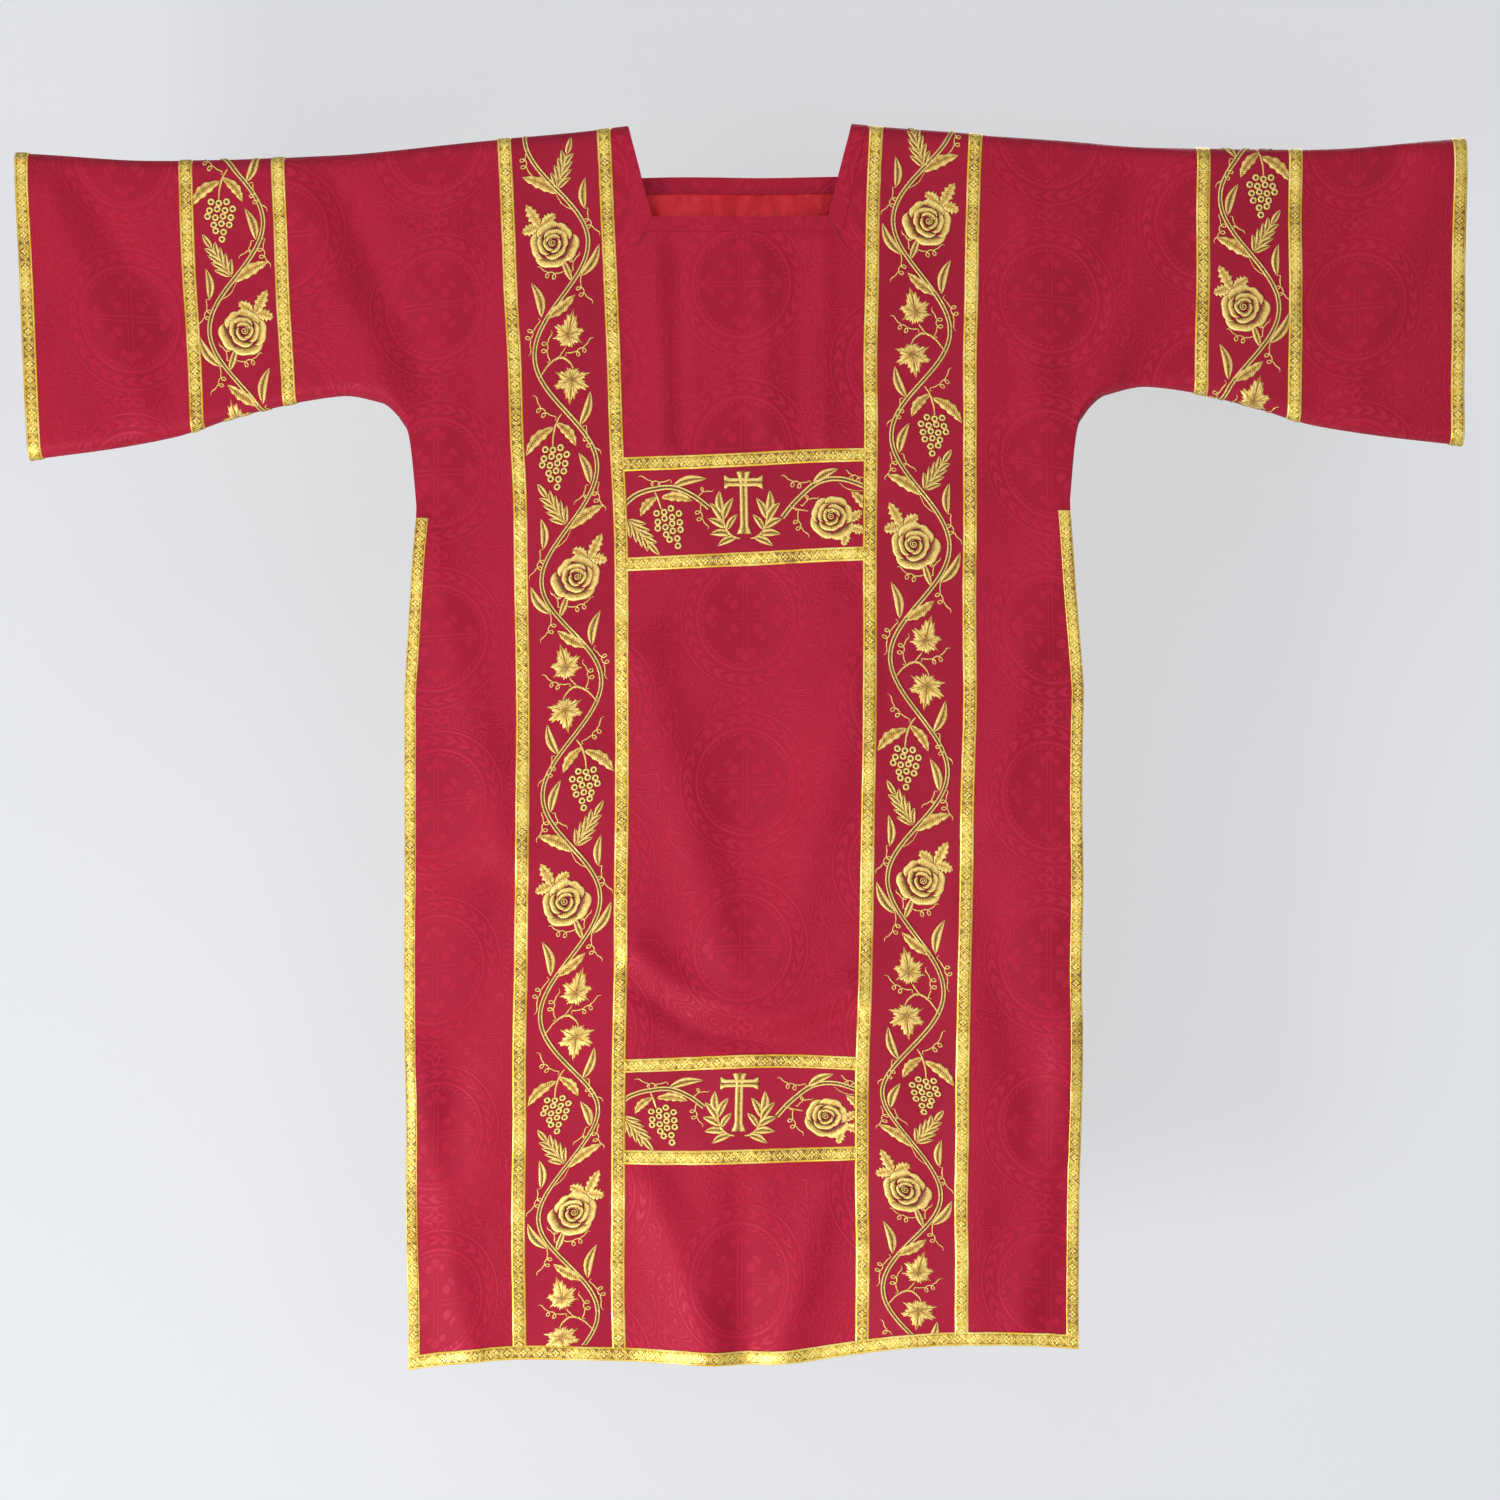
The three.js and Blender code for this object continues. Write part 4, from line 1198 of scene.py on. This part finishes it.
def vineUnit(work, atShoulder):
    if atShoulder:
        work.wheat((0.3, 58), (18.6, 5))
    else:
        work.wheat((4.5, 57.5), (33.5, 12))
    work.toothed((0.7, 62.7), (-35.6, 42.4), 15, 0.06, 0.32)
    work.strand([(-2.0, 60.0), (1.2, 67), (4.6, 73.4), (9.7, 78), (16, 81.5), (22.6, 83.6)], 1.5, 0.8)
    work.leaf((28.8, 81.6), (31, 48.5), 9.0, bend=-0.08)
    work.tendril((29, 81.6), (42.2, 114.7), 2, side=1)
    work.rose((-5.3, 116.7))
    work.spray([
        ((-18.8, 97.5), (-32.6, 72.1)), ((-20.1, 95.8), (-38.1, 101.5)), ((-17.3, 94.8), (-1.9, 84.6)),
    ], 15)
    work.leaf((12.2, 157), (2.8, 131.0), 7.2)
    work.tendril((11.5, 146), (20.7, 124.9), 1, side=-1, radius=2.6)
    work.leaf((21.2, 152.9), (42.6, 120.5), 10.5, bend=0.10)
    work.tendril((5.4, 149.2), (-26, 141), 2, side=-1)
    work.tendril((18.5, 152.6), (31.5, 185.7), 2, side=1)
    work.leaf((-21.2, 192), (-30.4, 154.5), 10.2, bend=0.10)
    work.toothed((-17.5, 193), (15.4, 171.5), 14, 0.05, 0.32)
    work.tendril((-25.0, 192.6), (-40.5, 231.8), 2, side=1)
    work.strand([(-27.0, 254), (-18, 242.6), (-11.5, 237.5), (-5.5, 235), (-0.2, 235.6), (3.6, 238.6),
                 (7.2, 242.4), (9.6, 247.7)], 3.0, 1.0, (0.25, 0.95, 0.55, 0.9, 0.25))
    work.strand([(-5.5, 235), (-2.5, 231.5), (0.4, 228), (2.2, 225.4)], 3.0, 1.0, (0.25, 0.9, 0.6, 0.25))
    work.vineLeaf((2.2, 227.4), (12.6, 186.6), 36)
    work.vineLeaf((9.5, 244.3), (4.3, 284.2), 41)
    work.tendril((-18, 238.6), (-14, 204.1), 2, side=-1)
    work.tendril((2.3, 234.5), (35.2, 219.7), 2, side=1)
    work.tendril((-11.5, 298), (-37.2, 270.4), 2, side=-1)
    work.strand([(-4.7, 292.7), (-8.6, 298), (-11.6, 304.8), (-14, 314), (-14.9, 324)], 3.2, 1.0,
                (0.25, 0.95, 0.55, 0.9, 0.25))
    work.toothed((-13.3, 304.8), (-44, 330.5), 15, 0.10, 0.36)
    work.toothed((-9.9, 301), (9.8, 326.8), 13, -0.10, 0.36)
    work.grapes((-14, 345.4))
    work.leaf((14.7, 306.5), (26.8, 272.4), 9.8, bend=0.08)
    work.tendril((18, 307.5), (34.7, 341.3), 2, side=1)
    work.leaf((22.8, 367.3), (12.0, 333.5), 9.8, bend=0.08)
    work.tendril((20.8, 368.4), (4.9, 388.7), 1, side=-1, radius=2.6)
    work.tendril((29.0, 366), (35, 399), 2, side=1)


def vineStrip(work, start, stop, offset):
    pitch, atShoulder = vineCut["pitch"], offset > vineCut["shoulderOffset"]
    first = max(0, math.floor((start - offset - vineCut["ahead"]) / pitch))
    final = math.ceil((stop - offset) / pitch)
    work.vine([
        (-vineCut["sway"] * math.cos(math.pi * (s - offset) / vineCut["halfWave"]), s)
        for s in steps(start, stop, round((stop - start) / vineCut["step"]))
    ])
    for unit in range(first, final + 1):
        work.flip = -1 if unit % 2 else 1
        work.shift = offset + unit * pitch
        vineUnit(work, unit == 0 and atShoulder)
    if atShoulder:
        work.flip, work.shift = 1, offset
        work.tendril((-31.5, 12), (-28, 47), 2, side=1)


# the patterned length draws together a little toward the hem
def drawnUp(s):
    return s - 0.00016 * max(0.0, s - 870) ** 2


def drawnDown(s):
    found = s
    for _ in range(20):
        found = s + found - drawnUp(found)
    return found


for face in (-1, 1):
    faceName = faceNames[face]
    for side, sideName in sideNames.items():
        offset = 6.85 if side < 0 else -12.0
        lowest = drawnDown((quarter + shoulderTop(cut["clavusLow"]) - cut["hollow"] - hemTop) * 1000 - 0.5)

        def place(t, s, height):
            down = drawnUp(s) / 1000
            z = min(0.0, quarter - cut["hollow"] - down)
            x = side * (clavusCentre(z) - t / 1000)
            return garmentPoint(face, x, max(0.0, down), level["stitch"] + height / 1000)

        edge = cut["clavus"] * 500
        work = Stitcher(place, face, lambda t, s: (
            min(edge, max(-edge, t)), min(lowest, max(0.5, s))))
        vineStrip(work, 0.0, 1340.0, offset)
        piece = work.done(f"{faceName}_{sideName}_clavus_stitching", torso)
        trims[face].append(piece)
print("clavus embroidery done")

for side, sideName in sideNames.items():
    for face in (-1, 1):
        middle = (bandStart + bandStop) / 2

        def place(t, s, height):
            reach = middle - t / 1000
            return garmentPoint(face, side * reach, s / 1000, level["stitch"] + height / 1000, True)

        edge = cut["sleeveBandWidth"] * 500
        work = Stitcher(place, face, lambda t, s: (
            min(edge, max(-edge, t)), min(sleeveRun(middle - t / 1000) * 1000 - 0.8, max(0.8, s))))
        vineStrip(work, 0.0, sleeveRun(middle) * 1000 + 12, -276.0 if side < 0 else -290.0)
        sleeveTrims[side].append(
            work.done(f"{sideName}_sleeve_{faceNames[face]}_stitching", f"{sideName}_sleeve")
        )
print("sleeve embroidery done")


# plain cross with flared ends, edged in cord; the tones paint the raised edges bright as painted highlight
# and the low middle dark as painted shade
def crossMotif(work, t0, head):
    def bar(x0, y0, x1, y1, width, height):
        run, rise = x1 - x0, y1 - y0
        size = math.hypot(run, rise)
        shape = {-1.0: (0.0, 0.3), -0.76: (1.0, 1.0), -0.4: (0.9, 0.75), 0.0: (0.30, 0.12),
                 0.4: (0.9, 0.7), 0.76: (1.0, 0.95), 1.0: (0.0, 0.3)}

        def rule(share, way):
            wide = width / 2 * (1 + 0.75 * max(0.0, abs(2 * way - 1) - 0.72) / 0.28)
            a = share * wide
            top, tone = shape[share]
            ends = 1.0 if 0.0 < way < 1.0 else 0.0
            return (t0 + x0 + run * way - rise / size * a, head + y0 + rise * way + run / size * a,
                    top * height * ends + 0.05, size * way + abs(a) * 0.5, a, tone if ends else 0.3)

        work.patch(list(shape), [0.0, 0.02, 0.08, 0.14, 0.3, 0.5, 0.7, 0.86, 0.92, 0.98, 1.0], rule)

    bar(0, 0, 0, 66, 9.0, 1.2)
    work.lift += 0.25
    bar(-20.5, 11.5, 20.5, 11.5, 9.0, 1.2)
    work.lift -= 0.25


def bandMotifs(work):
    vineLeft = [(-131, 403), (-126.1, 399.2), (-116.3, 391.4), (-104.6, 386.5), (-92.8, 384), (-83, 382.6),
                (-73.2, 383.2), (-63.4, 386.5), (-53.6, 391.8), (-45.8, 397.3), (-38, 404)]
    vineRight = [(39.5, 414.5), (50.3, 401.2), (60.1, 391.4), (69.9, 382.6), (79.7, 376.7), (91.4, 373.8),
                 (103.2, 373.8), (115, 376.7), (127.7, 381.6), (132, 383)]
    for line in (vineLeft, vineRight):
        work.vine(fine(line, 3), 5.6)
    work.strand([(-94.8, 387.9), (-91.5, 396), (-88.9, 405.1)], 3.8, 1.0, (0.25, 1.0, 0.45, 0.95, 0.25))
    work.toothed((-93.4, 393), (-111.4, 412.5), 12, 0.10, 0.38)
    work.toothed((-88.3, 393.4), (-55.6, 396.8), 13, -0.10, 0.38)
    work.grapes((-79.5, 425), -0.32)
    work.wheat((-124.2, 416.5), (-91.2, 454.1), pairs=4, length=19, width=6.6)
    work.leaf((-76.1, 381.6), (-39.5, 373.4), 9.4, bend=-0.08)
    work.tendril((-77.0, 378.0), (-114.4, 374.0), 2, side=-1, radius=2.6)
    work.tendril((-51.6, 391.4), (-32.4, 383.2), 1, side=-1, radius=2.8)
    work.tendril((-48.7, 397.3), (-41.4, 428.6), 2, side=1)
    work.rose((92.4, 414.9), 0.94, 0.6)
    work.spray([((110, 418), (123.8, 407)), ((111, 424), (128, 428.6)), ((108, 427), (104.2, 444.3))], 13)
    work.leaf((71.8, 379.6), (99.3, 363), 9.4, bend=-0.08)
    work.toothed((130, 407), (112.5, 387), 13.5, 0.08, 0.38)
    work.strand([(100.3, 377.7), (104.5, 381.8), (110, 384.7), (117, 386), (126.7, 385.8)], 1.6, 0.8)
    work.strand([(47.3, 403.2), (56.2, 406.1), (66.9, 408)], 3.2, 0.9, (0.25, 1.0, 0.4, 0.95, 0.25))
    work.tendril((69.9, 379.6), (36.6, 372.8), 2, side=-1)
    work.tendril((59.1, 401.2), (78.7, 390.4), 1, side=-1, radius=2.8)
    work.tendril((53.2, 407), (66, 438.4), 2, side=1)
    work.tendril((128, 372.8), (105.2, 366), 2, side=-1)
    # plain sprigs on both sides of the cross
    crossMotif(work, -1.0, 365.5)
    for side in (-1, 1):
        work.strand(fine([(side * 5.5, 436), (side * 12, 434.5), (side * 18.5, 429), (side * 22.5, 420),
                          (side * 23.5, 409)], 2.5), 2.6, 0.9, (0.25, 1.0, 0.5, 0.95, 0.25))
        for base, tip, width, bend in (
            ((23.6, 411), (26.5, 385.5), 9.4, 0.08), ((22.8, 419), (37.5, 398.5), 9.0, -0.08),
            ((20.5, 425), (39.5, 415.5), 8.6, -0.08), ((16, 431.5), (37.5, 431.5), 8.4, -0.08),
            ((9.5, 435), (29.5, 444), 8.0, -0.08), ((23, 416), (12.0, 393), 8.4, 0.07),
            ((19.5, 427), (8.0, 410.5), 7.2, 0.07),
        ):
            work.leaf((side * base[0], base[1]), (side * tip[0], tip[1]), width, bend=bend * side)


# a line through the points with more of them
def fine(points, step):
    found = []
    last = len(points) - 1
    for i in range(last):
        a, b = points[max(0, i - 1)], points[i]
        c, d = points[i + 1], points[min(last, i + 2)]
        count = max(1, round(math.dist(b, c) / step))
        for k in range(count):
            u = k / count
            found.append(tuple(
                0.5 * (2 * b[j] + (c[j] - a[j]) * u + (2 * a[j] - 5 * b[j] + 4 * c[j] - d[j]) * u * u
                       + (3 * b[j] - a[j] - 3 * c[j] + d[j]) * u**3) for j in (0, 1)
            ))
    return found + [points[-1]]


for face in (-1, 1):
    faceName = faceNames[face]
    for bandName, dropped in (("upper", 0.0), ("lower", (cut["lowerBand"] - cut["upperBand"]) * 1000)):
        tilt = 0.048 if bandName == "upper" else 0.030

        def place(t, s, height):
            z = -(s + dropped + tilt * t) / 1000
            return onBody(face, t / 1000, z, level["stitch"] + height / 1000)

        end = (clavusCentre(-0.4 - dropped / 1000) - cut["clavus"] / 2 - cut["galloon"]) * 1000 - 0.3
        work = Stitcher(place, face, lambda t, s: (min(end, max(-end, t)), s))
        bandMotifs(work)
        trims[face].append(
            work.done(f"{faceName}_{bandName}_band_stitching", torso, [f"{faceName}_{bandName}_cross"])
        )
print("band embroidery done")

# sewn seams where the neck facings meet at their corners
seamLook = {"width": 0.8, "height": 0.10}
seamThread, *_ = newMaterial("dark crimson thread", {"Base Color": (0.13, 0.002, 0.008, 1), "Roughness": 0.8})
for face in (-1, 1):
    insideX, insideDown = neckLine(face)[1]
    outsideX, outsideDown = neckLine(face, cut["facing"])[1]
    outsideDown += cut["facing"]

    def place(t, s, height):
        return garmentPoint(face, t / 1000, s / 1000, facingLevel + height / 1000)

    work = Stitcher(place, face)
    work.lift = 0.06
    for side in (-1, 1):
        line = [(side * (insideX + (outsideX - insideX) * i / 6) * 1000,
                 (insideDown + (outsideDown - insideDown) * i / 6) * 1000) for i in range(7)]
        work.strand(line, seamLook["width"], seamLook["height"], (0.5, 0.5, 0.5))
    seams = finishPiece(f"{faceNames[face]}_facing_seams", work.bm, seamThread)
    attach(seams, torso)
    trims[face].append(seams)

# how much cloth each piece takes, laid flat; the sums below are worked out and not kept
def panelArea(face, inset, short):
    count = 200
    total = 0.0
    for i in range(count):
        down = (i + 0.5) / count * bodyRun(0, short)
        total += 2 * (halfWidth(-down) - inset) * bodyRun(0, short) / count
    (topX, _), (lowX, lowDown) = neckLine(face)
    return total - (topX + lowX) * lowDown


def sleeveArea(reachTo):
    count = 60
    width = reachTo - cut["bodyHalf"]
    reaches = [cut["bodyHalf"] + (i + 0.5) / count * width for i in range(count)]
    return sum(2 * sleeveRun(reach) * width / count for reach in reaches)


for face in (-1, 1):
    faceName = faceNames[face]
    bodyRun(0)
    panelArea(face, 0, 0)
    bodyRun(0)
    panelArea(face, panelCut["liningInset"], panelCut["liningShort"])
for side, sideName in sideNames.items():
    2 * sleeveRun(cut["bodyHalf"])
    sleeveArea(cut["sleeveReach"])
    2 * sleeveRun(cut["bodyHalf"])
    sleeveArea(cut["sleeveReach"] - sleeveCut["liningShort"])

# pale studio: wall, floor, soft light, and a camera as in a straight front view
studio = {
    "camera": (0.0074, -3.754, -0.660), "lens": 85, "wallAt": 0.32, "floorAt": -2.75,
    "wall": (0.200, 0.204, 0.208), "glow": (0.955, 0.975, 1.0), "glowStrength": 0.59,
    "floor": (0.800, 0.815, 0.825), "world": (0.93, 0.95, 1.0), "worldStrength": 0.37,
    "wallHalf": 2.4, "wallTop": 1.6, "floorHalf": 4,
}


def planeOf(name, corners, material):
    bm = bmesh.new()
    grid = bmesh.ops.create_grid(bm, x_segments=1, y_segments=1, size=0.5)
    a, b, c, d = (Vector(corner) for corner in corners)
    for vert in grid["verts"]:
        u, v = vert.co.x + 0.5, vert.co.y + 0.5
        vert.co = a * (1 - u) * (1 - v) + b * u * (1 - v) + c * u * v + d * (1 - u) * v
    piece = finishPiece(name, bm, material)
    return piece


paper, paperShader, *_, paperSolid = newMaterial(
    "pale paper", {"Base Color": (*studio["wall"], 1), "Roughness": 0.9, "Specular IOR Level": 0.1,
                   "Emission Color": (*studio["glow"], 1), "Emission Strength": studio["glowStrength"]}
)
# the wall is only there for a viewer in front of it
lightPath = paperSolid.node("ShaderNodeLightPath")
backfacing = paperSolid.node("ShaderNodeNewGeometry", output=6)
front = lightPath * (1 - backfacing)
clear = front.node("ShaderNodeBsdfTransparent")
choice = front.node("ShaderNodeMixShader", inputs={0: front, 1: clear})
paper.node_tree.links.new(paperShader.outputs[0], choice.socket.node.inputs[2])
paper.node_tree.links.new(choice.socket, paper.node_tree.nodes["Material Output"].inputs["Surface"])
floorPaper, *_ = newMaterial(
    "pale floor", {"Base Color": (*studio["floor"], 1), "Roughness": 0.9, "Specular IOR Level": 0.1}
)
wallAt, floorAt = studio["wallAt"], studio["floorAt"]
wide, tall, deep = studio["wallHalf"], studio["wallTop"], studio["floorHalf"]
planeOf("stage_wall", [
    (-wide, wallAt, floorAt), (wide, wallAt, floorAt), (wide, wallAt, tall), (-wide, wallAt, tall),
], paper)
planeOf("stage_floor", [
    (-deep, -deep, floorAt), (deep, -deep, floorAt), (deep, deep, floorAt), (-deep, deep, floorAt),
], floorPaper)


def softLight(name, place, aim, size, power):
    light = bpy.data.lights.new(name, "AREA")
    light.size, light.energy = size, power
    lamp = bpy.data.objects.new(name, light)
    lamp.location = place
    lamp.rotation_euler = (Vector(aim) - Vector(place)).to_track_quat("-Z", "Y").to_euler()
    bpy.context.scene.collection.objects.link(lamp)


softLight("key", (-1.7, -1.9, -2.2), (0, 0, -1.2), 0.9, 59)
softLight("top", (-1.1, -2.5, 1.9), (0, 0, -0.5), 2.4, 28)
softLight("fill", (1.3, -3.6, -0.7), (0.2, 0, -0.6), 1.2, 20)
softLight("behind", (0.9, 3.0, 1.5), (0, 0, -0.6), 2.2, 42)

world = bpy.data.worlds.new("studio air")
bpy.context.scene.world = world
world.use_nodes = True
world.node_tree.nodes["Background"].inputs["Color"].default_value = (*studio["world"], 1)
world.node_tree.nodes["Background"].inputs["Strength"].default_value = studio["worldStrength"]
bpy.context.scene.view_settings.view_transform = "Standard"

lens = bpy.data.cameras.new("camera")
lens.lens, lens.sensor_width = studio["lens"], 36
camera = bpy.data.objects.new("camera", lens)
camera.location = studio["camera"]
camera.rotation_euler = (math.pi / 2, 0, 0)
bpy.context.scene.collection.objects.link(camera)
bpy.context.scene.camera = camera
print("studio done")
